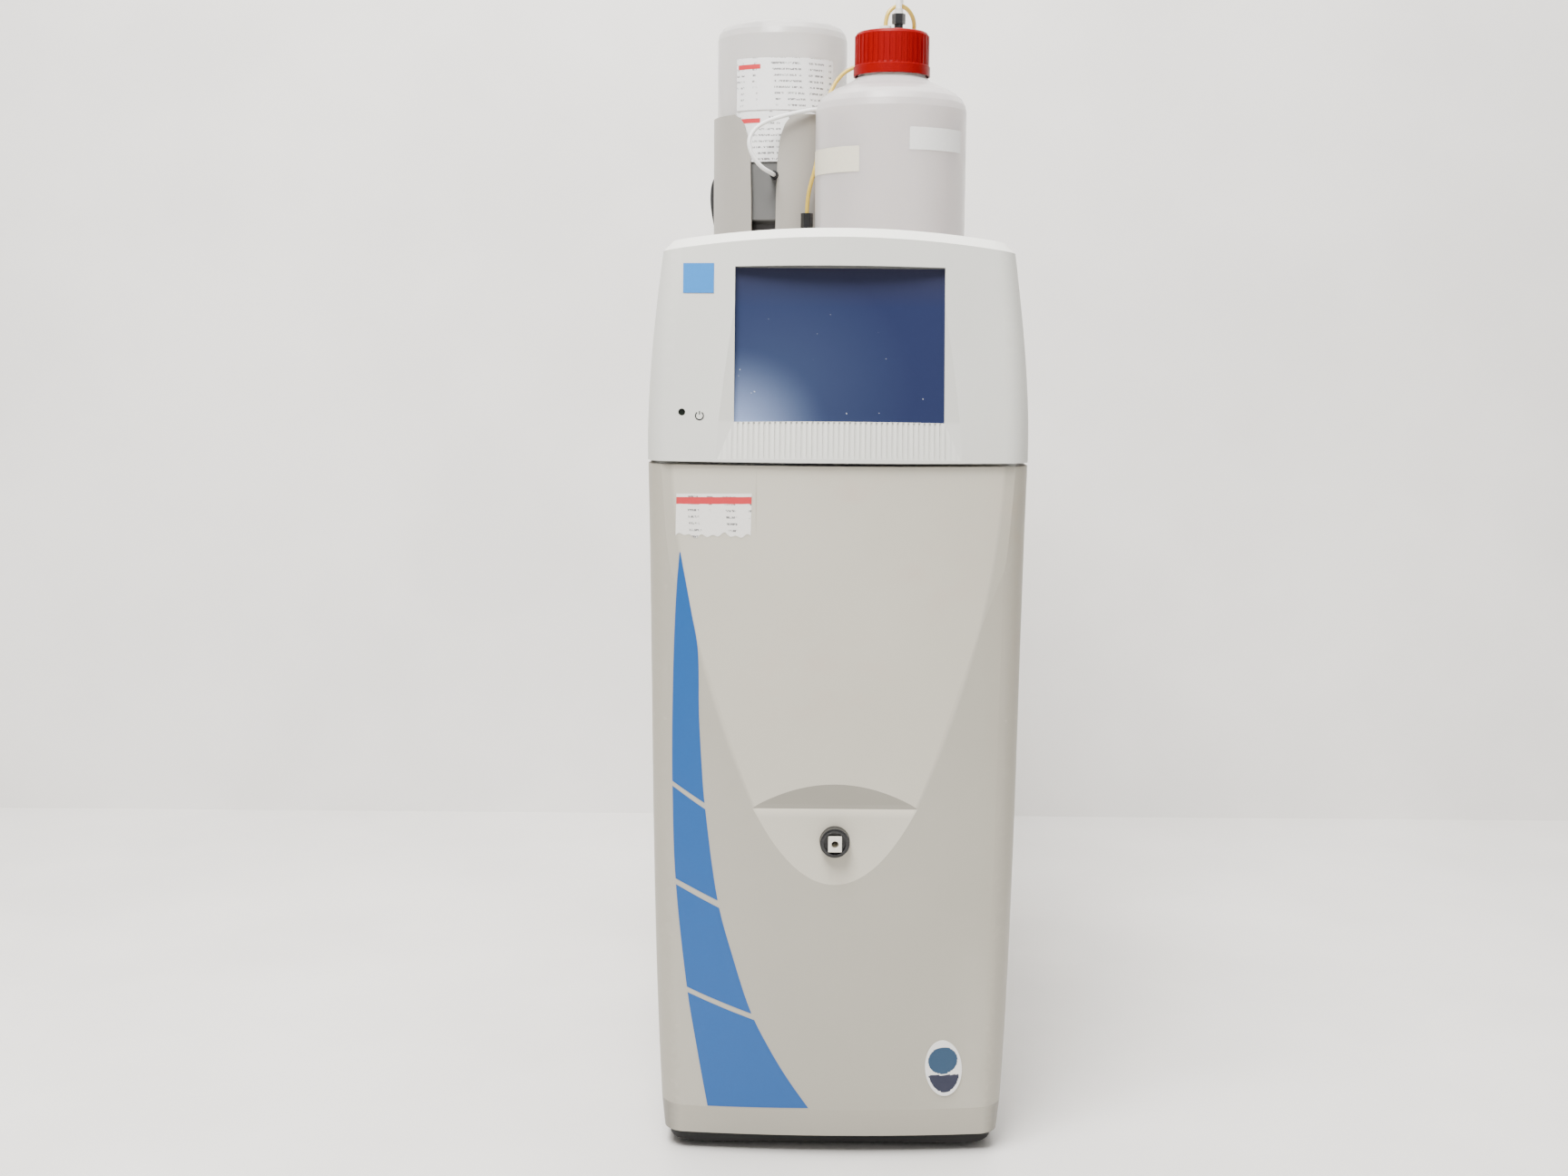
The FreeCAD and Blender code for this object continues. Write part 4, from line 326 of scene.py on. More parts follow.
@dataclass(frozen=True)
class Mark:
    """A soft stain: its middle, half size, colour and greatest share."""

    centre: Spot
    reach: Spot
    colour: Colour = (0.50, 0.42, 0.36)
    share: float = 0.46

    def over(self, graph: Graph, base: Socket, patches: Socket | float = 1.0) -> Socket:
        """A colour with the stain over it, broken up by a mask where there is one."""
        mask = graph.times(graph.blob(self.centre, self.reach), patches, self.share)
        return graph.mix(mask, base, self.colour)


@dataclass(frozen=True)
class Finish:
    """A finish that knows its name and colour."""

    name: str
    colour: Colour
    roughness: float = 0.5
    shine: float = 0.5

    def build(self) -> bpy.types.Material:
        """Make the material."""
        graph = Graph(self.name)
        graph.set(Roughness=self.roughness, Specular_IOR_Level=self.shine)
        self.paint(graph)
        return graph.material

    def paint(self, graph: Graph) -> None:
        """Add the finish's own nodes."""
        raise NotImplementedError


@dataclass(frozen=True)
class Moulded(Finish):
    """Injection-moulded plastic with a spark-eroded grain and slight mottling."""

    grain: float = 1800.0
    depth: float = 0.00004
    mottling: Span = (0.965, 1.03)
    aged: Colour | None = None
    aged_span: Span = (0.085, 0.112)
    aged_share: float = 0.45
    # Painted light and shade by slope: colour factors by the normal's upward part, darker facing down,
    # lighter facing up.
    slope_shading: Edge = ()

    def paint(self, graph: Graph) -> None:
        """Grain, mottling, and where asked painted light and shade by slope and an aged tone towards the
        sides.
        """
        fine = graph.noise(self.grain, 2.0)
        broad = graph.noise(9.0, 4.0)
        colour = graph.mottle(broad, self.colour, *self.mottling)
        if self.aged is not None:
            share = graph.remap(graph.side(), *self.aged_span, 0.0, self.aged_share)
            colour = graph.mix(share, colour, self.aged)
        # Painted light and shade: the colour is scaled by how far the surface faces up or down.
        if self.slope_shading:
            colour = graph.tint(colour, graph.curve(graph.axis("Z", normal=True), self.slope_shading))
        graph.feed(colour)
        graph.roughen(broad, self.roughness, 0.05, 0.06)
        graph.bump(fine, self.depth, 0.5)


@dataclass(frozen=True)
class Cell(Moulded):
    """The grey electrolysis cell, with painted shadow below a height for the shaded gap under it."""

    # Painted shadow: colour below the shadow span, for the shaded gap under the cell.
    foot: Colour = (0.012, 0.011, 0.010)
    shadow_span: Span = (0.5866, 0.5874)

    def paint(self, graph: Graph) -> None:
        """The moulded finish over a foot painted dark as shadow."""
        super().paint(graph)
        graph.feed(graph.mix(graph.remap(graph.axis("Z"), *self.shadow_span), self.foot, graph.colour()))


@dataclass(frozen=True)
class Fittings(Moulded):
    """Black line fittings, with the milky side fitting and the clear ring on the bottle's cap."""

    pale: Colour = (0.62, 0.61, 0.58)
    side_spot: Spot = (0.0395, 0.070, 0.72)
    side_reach: Spot = (0.0085, 0.0085, 0.04)
    side_edge: float = 0.3
    ring_height: float = 0.7346

    def paint(self, graph: Graph) -> None:
        """Black, turned pale round the side fitting and above the nut."""
        super().paint(graph)
        near = graph.math("GREATER_THAN", graph.blob(self.side_spot, self.side_reach), self.side_edge)
        above = graph.math("GREATER_THAN", graph.axis("Z"), self.ring_height)
        graph.feed(graph.mix(graph.math("MAXIMUM", near, above), graph.colour(), self.pale))


@dataclass(frozen=True)
class HoodPlastic(Moulded):
    """The hood's plastic, with painted shade on the flat slivers beside the screen and in the ribs' grooves.
    """

    # Painted shade: factor on the flat slivers beside the screen.
    sliver_shade: float = 0.88
    sliver_slope: Span = (0.05, 0.02)
    sliver_side: Span = (0.0595, 0.0605)
    sliver_foot: Span = (0.4475, 0.4495)
    # Painted shade: factor in the grooves between the apron's ribs.
    groove_shade: float = 0.86
    groove_pitch: float = 0.0031
    groove_edge: Span = (0.0008, 0.0004)
    groove_fade: Span = (0.425, 0.448)
    groove_least: float = 0.5
    apron_slope: Span = (0.19, 0.205)
    apron_top: float = 0.4487

    def paint(self, graph: Graph) -> None:
        """The moulded finish with painted shade on the slivers and in the grooves."""
        super().paint(graph)
        plain = graph.tint(graph.colour(), self.slivers(graph))
        graph.feed(graph.tint(plain, self.grooves(graph)))

    def slivers(self, graph: Graph) -> Socket:
        """Painted shade on the flat slivers on either side of the screen."""
        flat = graph.remap(graph.side(normal=True), *self.sliver_slope)
        beside = graph.remap(graph.side(), *self.sliver_side)
        above = graph.remap(graph.axis("Z"), *self.sliver_foot)
        return graph.tone(graph.times(flat, beside, above), self.sliver_shade)

    def grooves(self, graph: Graph) -> Socket:
        """Painted shade in the grooves between the apron's ribs, weaker towards its foot."""
        step = graph.math("PINGPONG", graph.side(), self.groove_pitch / 2)
        lines = graph.remap(step, *self.groove_edge)
        apron = graph.times(graph.remap(graph.axis("Z", normal=True), *self.apron_slope),
                            graph.math("LESS_THAN", graph.axis("Z"), self.apron_top))
        fade = graph.remap(graph.axis("Z"), *self.groove_fade, self.groove_least)
        return graph.tone(graph.times(lines, apron, fade), self.groove_shade)


@dataclass(frozen=True)
class SmudgedDoor(Moulded):
    """The door's plastic with faint hand marks, a line of old adhesive, grime at its right edge and painted
    shade outside the shield's creases.
    """

    hands: tuple[Mark, ...] = (
        Mark((0.005, -0.266, 0.406), (0.048, 0.03, 0.020)),
        Mark((0.080, -0.262, 0.402), (0.030, 0.03, 0.026)),
        Mark((0.056, -0.264, 0.356), (0.040, 0.03, 0.030)),
        Mark((-0.010, -0.266, 0.300), (0.060, 0.03, 0.045)),
    )
    adhesive: Mark = Mark((-0.048, -0.264, 0.402), (0.0006, 0.05, 0.022), (0.32, 0.28, 0.23), 0.6)
    grime: Mark = Mark((0.106, -0.25, 0.37), (0.010, 0.05, 0.13), (0.36, 0.30, 0.22), 0.3)
    # Painted shade outside the shield's creases, where the door's side facets lean away from the light;
    # outside is the factor there.
    crease_top: float = 0.3785
    crease_half: float = 0.0938
    crease_slope: float = 0.1293
    crease_bend: float = 0.994
    crease_edge: Span = (0.0012, -0.0012)
    crease_foot: Span = (0.214, 0.2185)
    outside: float = 0.80

    def paint(self, graph: Graph) -> None:
        """The moulded finish with painted shade outside the shield's creases, with the marks mixed over it.
        """
        super().paint(graph)
        # Painted shade outside the shield's creases.
        base = graph.tint(graph.colour(), self.shield(graph))
        patches = graph.remap(graph.noise(46.0, 5.0, (1.0, 1.0, 1.6)), 0.46, 0.66)
        for hand in self.hands:
            base = hand.over(graph, base, patches)
        base = self.adhesive.over(graph, base)
        graph.feed(self.grime.over(graph, base, graph.remap(graph.noise(120.0, 6.0), 0.45, 0.7)))

    def shield(self, graph: Graph) -> Socket:
        """Painted shade: full tone inside the two creases that narrow towards the scoop, darker outside them.
        """
        drop = graph.math("SUBTRACT", self.crease_top, graph.axis("Z"))
        bend = graph.math("ADD", graph.times(drop, self.crease_bend), self.crease_slope)
        half = graph.math("SUBTRACT", self.crease_half, graph.times(drop, bend))
        over = graph.math("SUBTRACT", graph.side(), half)
        above = graph.remap(graph.axis("Z"), *self.crease_foot)
        return graph.tone(graph.times(graph.remap(over, *self.crease_edge), above), 1.0, self.outside)


@dataclass(frozen=True)
class Painted(Finish):
    """Powder paint on sheet steel: an orange-peel bump and a little gloss."""

    shine: float = 0.45
    peel: float = 900.0
    depth: float = 0.00006

    def paint(self, graph: Graph) -> None:
        """Orange peel with faint tone changes."""
        graph.feed(graph.mottle(graph.noise(6.0, 4.0), self.colour, 0.96, 1.03, spread=(0.35, 0.65)))
        graph.bump(graph.noise(self.peel, 2.0), self.depth, 0.6)


@dataclass(frozen=True)
class Metal(Finish):
    """Metal with fine tool lines along one axis."""

    stretch: Spot = (1.0, 1.0, 30.0)
    pitch: float = 160.0
    depth: float = 0.00002

    def paint(self, graph: Graph) -> None:
        """Tool lines in colour, roughness and bump."""
        graph.set(Metallic=1.0)
        lines = graph.noise(self.pitch, 4.0, self.stretch)
        graph.feed(graph.mottle(lines, self.colour, 0.88, 1.1))
        graph.roughen(lines, self.roughness, 0.06, 0.08)
        graph.bump(lines, self.depth, 0.4)


@dataclass(frozen=True)
class Clear(Finish):
    """Frosted, milky plastic that passes some light."""

    passing: float = 0.3
    milk: float = 0.35
    coat: float = 0.3
    coat_roughness: float = 0.16
    scatter: Spot = (0.02, 0.02, 0.018)
    scatter_scale: float = 0.4
    index: float = 1.46

    def paint(self, graph: Graph) -> None:
        """Cloudy colour, light passing through and a soft gloss."""
        graph.feed(graph.mottle(graph.noise(14.0, 5.0, (1.0, 1.0, 0.5)), self.colour, 0.96, 1.0))
        graph.set(Transmission_Weight=self.passing, IOR=self.index, Subsurface_Weight=self.milk,
                  Subsurface_Radius=self.scatter, Subsurface_Scale=self.scatter_scale,
                  Coat_Weight=self.coat, Coat_Roughness=self.coat_roughness)
        graph.bump(graph.noise(70.0, 3.0), 0.0002, 0.25)


@dataclass(frozen=True)
class Display(Finish):
    """Dark blue display with a pale reflection low on its left, faint lines and dust."""

    shine: float = 0.2
    top: Colour = (0.020, 0.020, 0.038)
    top_span: Span = (0.515, 0.541)
    haze: Mark = Mark((-0.040, -0.255, 0.470), (0.085, 0.06, 0.075), (0.06, 0.09, 0.15), 0.22)
    # Painted reflection: a pale spot low on the screen's left.
    reflection_spot: Mark = Mark((-0.066, -0.262, 0.444), (0.062, 0.05, 0.052), (0.20, 0.26, 0.42), 0.85)
    reflection_falloff: float = 1.7
    line: Colour = (0.02, 0.03, 0.05)
    line_scale: float = 300.0
    line_share: float = 0.07
    dust: Colour = (0.7, 0.72, 0.75)
    dust_share: float = 0.5

    def paint(self, graph: Graph) -> None:
        """Gradients on the point's own coordinates."""
        base = graph.mix(graph.remap(graph.axis("Z"), *self.top_span), self.colour, self.top)
        base = self.haze.over(graph, base)
        # Painted reflection mixed into the screen's colour, which also feeds its emission.
        spot = graph.math("POWER", graph.blob(self.reflection_spot.centre, self.reflection_spot.reach), self.reflection_falloff)
        base = graph.mix(graph.times(spot, self.reflection_spot.share), base, self.reflection_spot.colour)
        lines = graph.texture("TexWave", self.line_scale)
        lines.bands_direction = "Z"
        base = graph.mix(graph.times(lines.outputs["Fac"], self.line_share), base, self.line)
        dust = graph.remap(graph.noise(420.0, 1.0), 0.80, 0.84)
        base = graph.mix(graph.times(dust, self.dust_share), base, self.dust)
        graph.feed(base)
        graph.link(base, "Emission Color")
        graph.set(Emission_Strength=0.5, Coat_Weight=0.12, Coat_Roughness=0.06)


@dataclass(frozen=True)
class Board(Finish):
    """Circuit board: solder mask with faint tracks and pads."""

    cells: float = 90.0
    copper: float = 2.4

    def paint(self, graph: Graph) -> None:
        """Tracks as thin edges between cells."""
        cells = graph.texture("TexVoronoi", self.cells)
        cells.feature = "DISTANCE_TO_EDGE"
        track = graph.remap(cells.outputs["Distance"], 0.02, 0.05)
        graph.feed(graph.mix(track, shade(self.colour, self.copper), self.colour))
        graph.bump(track, 0.0001, 0.5)


@dataclass(frozen=True)
class Printed(Finish):
    """Printed paper or film with rows of faint grey bars where asked."""

    rows: float = 0.0
    ink: Colour = (0.12, 0.12, 0.12)
    strength: float = 0.6

    def paint(self, graph: Graph) -> None:
        """Paper tone, with the small print over it."""
        fibre = graph.noise(500.0, 3.0)
        base = graph.mottle(fibre, self.colour, 0.96, 1.0)
        if self.rows:
            base = graph.mix(graph.times(self.small_print(graph), self.strength), base, self.ink)
        graph.feed(base)
        graph.bump(fibre, 0.00002, 0.3)

    def small_print(self, graph: Graph) -> Socket:
        """Mask of rows of broken bars that stand for small print."""
        wave = graph.math("FRACT", graph.times(graph.axis("Z"), self.rows))
        line = graph.times(graph.remap(wave, 0.30, 0.34), graph.remap(wave, 0.66, 0.62))
        words = graph.remap(graph.noise(self.rows * 0.55, 1.0, (1.0, 1.0, 0.15)), 0.47, 0.50)
        letters = graph.remap(graph.noise(self.rows * 5.0, 1.0, (1.0, 1.0, 0.6)), 0.42, 0.52)
        return graph.times(line, words, letters)


# Finishes of this instrument

# The hood's painted light and shade by slope: darker facing down, lighter on the upward crown and apron.
HOOD = HoodPlastic("hood_finish", (0.56, 0.56, 0.525), 0.46,
                   slope_shading=((-1.0, 0.25), (-0.3, 0.7), (0.12, 0.97), (0.17, 1.0), (0.216, 1.12), (0.75, 1.3)))
# The door's painted light and shade by slope: darker on the scoop's downward slope, lighter on its upward
# slope and the tucked lip.
DOOR = SmudgedDoor("door_finish", (0.476, 0.450, 0.380), 0.47, aged=(0.41, 0.375, 0.305),
                   slope_shading=((-1.0, 0.35), (-0.5, 1.1), (-0.3, 1.1), (-0.2, 0.56), (-0.14, 0.62), (-0.05, 0.94),
                           (0.0, 1.0), (0.068, 1.34)))
DECK = Moulded("deck_finish", (0.54, 0.52, 0.48), 0.5)
BASE = Moulded("base_finish", (0.012, 0.012, 0.0125), 0.6, shine=0.3)
TRAY = Moulded("drip_tray_finish", (0.46, 0.46, 0.44), 0.5)
HOLDER = Moulded("holder_finish", (0.32, 0.302, 0.272), 0.42, grain=900.0)
CELL = Cell("cell_finish", (0.12, 0.12, 0.118), 0.4)
FITTINGS = Fittings("fitting_finish", (0.012, 0.012, 0.013), 0.3)
POLYMER = Moulded("wetted_polymer", (0.56, 0.45, 0.27), 0.42)
COLUMN = Moulded("column_polymer", (0.62, 0.58, 0.50), 0.4)
BLACK = Moulded("black_moulding", (0.016, 0.016, 0.017), 0.36)
FOAM = Moulded("heater_shell", (0.22, 0.22, 0.225), 0.6)
SUPPRESSOR = Moulded("suppressor_body", (0.05, 0.10, 0.26), 0.3)
STOPPER = Moulded("stopper_finish", (0.74, 0.71, 0.63), 0.4)
CAP = Moulded("cap_finish", (0.20, 0.0, 0.0008), 0.42, shine=0.1, grain=1200.0)
LAMP = Moulded("lamp_lens", (0.01, 0.014, 0.01), 0.15)
RUBBER = Moulded("rubber_finish", (0.02, 0.02, 0.02), 0.75)
SIDE = Painted("side_finish", (0.56, 0.54, 0.50), 0.48)
BAY = Painted("bay_finish", (0.60, 0.59, 0.56), 0.45)
CAST = Metal("cast_housing", (0.46, 0.46, 0.47), 0.5, stretch=(1.0, 1.0, 1.0))
STEEL = Metal("machined_steel", (0.56, 0.55, 0.54), 0.3)
GALVANISED = Metal("galvanised_sheet", (0.52, 0.53, 0.55), 0.42, stretch=(1.0, 1.0, 2.0))
BOARD = Board("board_finish", (0.02, 0.11, 0.05), 0.4)
SCREEN = Display("display_glass", (0.013, 0.018, 0.053), 0.25)
BOTTLE = Clear("bottle_plastic", (0.95, 0.895, 0.88), 0.32, passing=0.55, milk=0.5)
CARTRIDGE = Clear("cartridge_plastic", (0.95, 0.925, 0.905), 0.3, passing=0.65, milk=0.4)
WHITE_TUBE = Clear("milky_tube", (0.88, 0.89, 0.88), 0.3, passing=0.15, milk=0.4)
YELLOW_TUBE = Clear("yellow_tube", (0.66, 0.46, 0.08), 0.25, passing=0.25, milk=0.3)
CABLE = Moulded("cable_sheath", (0.015, 0.015, 0.016), 0.55)
STRIPE = Printed("stripe_print", (0.0, 0.075, 0.28), 0.46)
BADGE = Printed("badge_print", (0.012, 0.175, 0.50), 0.4)
OVAL = Printed("oval_print", (0.006, 0.045, 0.105), 0.4)
PAPER = Printed("label_paper", (0.78, 0.78, 0.77), 0.55)
CREAM = Printed("cream_paper", (0.70, 0.66, 0.54), 0.55)
LISTING = Printed("cartridge_print", (0.80, 0.80, 0.80), 0.45, rows=225.0, strength=0.95)
STICKER = Printed("sticker_print", (0.78, 0.765, 0.73), 0.55, rows=256.0, strength=0.95)
RED_PRINT = Printed("red_print", (0.55, 0.03, 0.04), 0.45)
NAVY = Printed("navy_print", (0.005, 0.008, 0.034), 0.42)
PLATE = Metal("plate_film", (0.62, 0.62, 0.62), 0.45, stretch=(30.0, 1.0, 1.0))
TABLE = Painted("table_finish", (0.76, 0.745, 0.725), 0.4)
WALL = Painted("wall_finish", (0.86, 0.845, 0.825), 0.9)

NODE_FINISHES: dict[Finish, tuple[str, ...]] = {
    HOOD: ("hood_shell",),
    DOOR: ("door_shell",),
    DECK: ("reservoir_tray",),
    BASE: ("base_pan",),
    RUBBER: ("rubber_feet", "tray_grommets"),
    SIDE: ("left_side_panel", "right_side_panel", "rear_panel"),
    BAY: ("component_bay",),
    TRAY: ("drip_tray",),
    CAST: ("pump_housing", "valve_actuator"),
    POLYMER: ("primary_pump_head", "secondary_pump_head", "pressure_transducer", "injection_valve"),
    STEEL: ("check_valves", "fan_guard", "catch_plate", "door_hinge_leaves", "frame_hinge_leaves",
            "hood_hinge_pins", "hood_hinge_brackets"),
    BLACK: ("waste_valve_knob", "priming_valve_knob", "column_clips", "conductivity_cell", "fan_frame",
            "fan_rotor", "power_inlet", "rocker_switch", "signal_connectors", "injection_port",
            "door_catch"),
    FITTINGS: ("line_fittings",),
    FOAM: ("column_heater",),
    COLUMN: ("separator_column", "guard_column", "trap_column"),
    SUPPRESSOR: ("suppressor",),
    GALVANISED: ("power_supply", "door_liner"),
    BOARD: ("control_board", "display_board"),
    WHITE_TUBE: ("sample_loop",),
    BOTTLE: ("eluent_bottle",),
    CARTRIDGE: ("cartridge_bottle",),
    CELL: ("cartridge_base",),
    HOLDER: ("cartridge_holder",),
    CAP: ("bottle_cap",),
    STOPPER: ("bottle_stopper", "luer_fitting"),
    SCREEN: ("lcd_panel",),
    LAMP: ("power_lamp",),
}


def dress_nodes(nodes: dict[str, bpy.types.Object]) -> None:
    """Give every node of the frame its finish.

    Args:
        nodes: Objects of the frame by node name.
    """
    for finish, names in NODE_FINISHES.items():
        material = finish.build()
        for name in names:
            for slot in nodes[name].material_slots:
                slot.material = material
    LOG.info("dressed %d nodes", sum(len(names) for names in NODE_FINISHES.values()))


# Mesh helpers


def as_object(name: str, mesh: Mesh, finishes: Sequence[Finish]) -> bpy.types.Object:
    """Turn a bmesh into an object of the scene.

    Args:
        name: Name of the object.
        mesh: Its mesh, which is freed here.
        finishes: One finish for each material index of its faces.

    Returns:
        The new object.
    """
    data = bpy.data.meshes.new(name)
    mesh.to_mesh(data)
    mesh.free()
    for finish in finishes:
        data.materials.append(finish.build())
    thing = bpy.data.objects.new(name, data)
    bpy.context.scene.collection.objects.link(thing)
    return thing


def piece(name: str, mesh: Mesh, body: Body,
          finishes: Sequence[Finish], thickness: float = 0.0) -> None:
    """Turn a bmesh into a named piece that rides on a body.

    Args:
        name: Name of the piece.
        mesh: Its mesh, which is freed here.
        body: Body that it moves with.
        finishes: One finish for each material index of its faces.
        thickness: Thickness that a laid film gets outwards from the surface, or zero.
    """
    thing = as_object(name, mesh, finishes)
    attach(thing, body.value)
    if thickness:
        solid = thing.modifiers.new("thickness", "SOLIDIFY")
        solid.thickness = thickness
        solid.offset = 1.0
    LOG.info("%s: %d faces", name, len(thing.data.polygons))


def join(whole: Mesh, part: Mesh) -> None:
    """Add a part's mesh to a whole, and free the part."""
    data = bpy.data.meshes.new("part")
    part.to_mesh(data)
    part.free()
    whole.from_mesh(data)
    bpy.data.meshes.remove(data)


def face_front(mesh: Mesh) -> None:
    """Turn all faces of an open sheet towards the front."""
    bmesh.ops.recalc_face_normals(mesh, faces=mesh.faces)
    if sum(face.normal.y for face in mesh.faces) > 0:
        bmesh.ops.reverse_faces(mesh, faces=mesh.faces)


def patch(columns: int, rows: int, place: Callable[[float, float], Spot]) -> Mesh:
    """A grid whose points are placed by a rule.

    Args:
        columns: Faces across.
        rows: Faces up.
        place: Gives the point for a share across and a share up.

    Returns:
        The mesh.
    """
    mesh = bmesh.new()
    bmesh.ops.create_grid(mesh, x_segments=columns, y_segments=rows, size=0.5)
    for point in mesh.verts:
        point.co = Vector(place(point.co.x + 0.5, point.co.y + 0.5))
    return mesh


def rectangle(x0: float, x1: float, z0: float, z1: float) -> Callable[[float, float], Spot]:
    """A rule that fills an upright rectangle, given in millimetres."""
    return lambda across, up: ((x0 + (x1 - x0) * across) * MM, 0.0, (z0 + (z1 - z0) * up) * MM)


def follow(edge: Edge, height: float) -> float:
    """The place across on a smooth edge at a height.

    Args:
        edge: Height and place of each point of the edge, from the top down.
        height: Height asked for.

    Returns:
        The place across.
    """
    last = len(edge) - 2
    i = next((i for i in range(last) if height >= edge[i + 1][0]), last)
    (z0, x0), (z1, x1) = edge[i], edge[i + 1]
    before = edge[max(i - 1, 0)]
    after = edge[min(i + 2, last + 1)]
    span = z1 - z0
    share = (height - z0) / span
    slope0 = (x1 - before[1]) / (z1 - before[0])
    slope1 = (after[1] - x0) / (after[0] - z0)
    a = slope0 * span - (x1 - x0)
    b = -slope1 * span + (x1 - x0)
    bend = share * (1 - share) * (a * (1 - share) + b * share)
    return x0 + (x1 - x0) * share + bend


class Skin:
    """The outside of a node, for laying films on it from the front."""

    def __init__(self, node: bpy.types.Object, lift: float = 0.00008) -> None:
        """Keep a search tree of the node's mesh.

        Args:
            node: Node that films are laid on.
            lift: Height that a film keeps over it.
        """
        data = node.data
        self.lift = lift
        self.tree = BVHTree.FromPolygons([v.co for v in data.vertices], [p.vertices for p in data.polygons])

    def lay(self, mesh: Mesh) -> Mesh:
        """Push a mesh's points straight back onto the skin.

        Args:
            mesh: Mesh whose X and Z are right.

        Returns:
            The same mesh.
        """
        for point in mesh.verts:
            start = Vector((point.co.x, -1.0, point.co.z))
            found, normal, _, _ = self.tree.ray_cast(start, Vector((0, 1, 0)))
            if found is not None:
                point.co = found + normal * self.lift
        face_front(mesh)
        return mesh


# Printed films on the door and the hood


@dataclass
class DoorFilms:
    """The printed stripe, the paper sticker and the oval badge on the front door."""

    skin: Skin
    left: Edge = ((371.4, -93.0), (352.8, -94.6), (321.2, -96.2), (274.1, -97.3), (231.0, -97.3),
                  (173.5, -95.4), (106.6, -88.4), (65.4, -81.6), (31.5, -75.4))
    right: Edge = ((371.4, -92.6), (335.8, -85.9), (314.3, -82.1), (275.0, -81.3), (246.5, -79.8),
                   (220.6, -77.8), (161.3, -69.7), (124.4, -59.7), (92.4, -49.1), (69.2, -37.4),
                   (50.8, -26.3), (33.1, -14.0))
    spans: Sequence[tuple[float, float, float, float]] = (
        (371.4, 371.4, 233.4, 221.2), (230.4, 217.2, 173.6, 161.6), (169.8, 157.0, 106.6, 92.2),
        (103.2, 88.2, 32.5, 33.4))
    sticker: tuple[float, float, float, float] = (-95.2, -50.8, 381.2, 405.9)
    sticker_lean: float = 0.5
    sticker_rise: float = 0.9
    band: Span = (399.6, 403.6)
    band_slope: float = 0.02
    oval: Span = (67.7, 58.0)
    oval_half: Span = (11.2, 17.6)
    oval_tilt: float = 6.0
    oval_rim: float = 0.87
    oval_low: float = -0.24
    centre_up: float = 0.28
    centre_half: Span = (0.80, 0.48)

    def build(self) -> None:
        """Make all the films."""
        self.stripe()
        self.paper()
        self.badge()

    def stripe(self) -> None:
        """Four slanting lengths of one tapering stripe down the door's left."""
        whole = bmesh.new()
        for top_left, top_right, low_left, low_right in self.spans:
            def place(across: float, up: float) -> Spot:
                """A point of this length of the stripe."""
                left_z = low_left + (top_left - low_left) * up
                right_z = low_right + (top_right - low_right) * up
                z = left_z + (right_z - left_z) * across
                start = follow(self.left, z)
                x = start + (follow(self.right, z) - start) * across
                return (x * MM, 0.0, z * MM)

            join(whole, patch(14, 40, place))
        piece("door_stripe", self.skin.lay(whole), Body.DOOR, (STRIPE,), 0.0001)

    @staticmethod
    def tear(across: float) -> float:
        """Height of the sticker's torn foot, in millimetres: slow waves with a fast one on them."""
        return 1.1 * math.sin(across * 17.0) * math.sin(across * 5.3 + 1.0) + 0.8 * math.sin(across * 41.0)

    def paper(self) -> None:
        """A paper sticker with a plain red band and a torn lower edge."""
        x0, x1, z0, z1 = self.sticker

        def place(across: float, up: float) -> Spot:
            """A point of the sticker, torn along its foot."""
            x = x0 + (x1 - x0) * across + self.sticker_lean * (up - 0.5)
            z = z0 + self.tear(across) * (1 - up) ** 2 + (z1 - z0) * up + self.sticker_rise * across
            return (x * MM, 0.0, z * MM)

        mesh = self.skin.lay(patch(60, 36, place))
        low, high = (edge * MM for edge in self.band)
        for face in mesh.faces:
            middle = face.calc_center_median()
            if low < middle.z - self.band_slope * (middle.x - x0 * MM) < high:
                face.material_index = 1
        piece("door_sticker", mesh, Body.DOOR, (STICKER, RED_PRINT), 0.00012)

    def badge(self) -> None:
        """A plain oval badge: a blue oval in a pale field over a level dark one."""
        turn = math.radians(self.oval_tilt)
        finishes = (PAPER, OVAL, NAVY)

        def place(across: float, up: float) -> Spot:
            """A point of the oval, mapped from a square."""
            a, b = 2 * across - 1, 2 * up - 1
            u = a * math.sqrt(1 - b * b / 2) * self.oval_half[0]
            v = b * math.sqrt(1 - a * a / 2) * self.oval_half[1]
            x = self.oval[0] + u * math.cos(turn) - v * math.sin(turn)
            z = self.oval[1] + u * math.sin(turn) + v * math.cos(turn)
            return (x * MM, 0.0, z * MM)

        def field(spot: Vector) -> Finish:
            """The finish of the field that a spot in millimetres lies in."""
            u, v = spot.x - self.oval[0], spot.z - self.oval[1]
            across = (u * math.cos(turn) + v * math.sin(turn)) / self.oval_half[0]
            up = (v * math.cos(turn) - u * math.sin(turn)) / self.oval_half[1]
            if math.hypot(across, up) > self.oval_rim:
                return PAPER
            if v < self.oval_low * self.oval_half[1]:
                return NAVY
            out = math.hypot(across / self.centre_half[0], (up - self.centre_up) / self.centre_half[1])
            return OVAL if out < 1 else PAPER

        mesh = self.skin.lay(patch(48, 48, place))
        for face in mesh.faces:
            face.material_index = finishes.index(field(face.calc_center_median() / MM))
        piece("door_oval_badge", mesh, Body.DOOR, finishes, 0.0004)


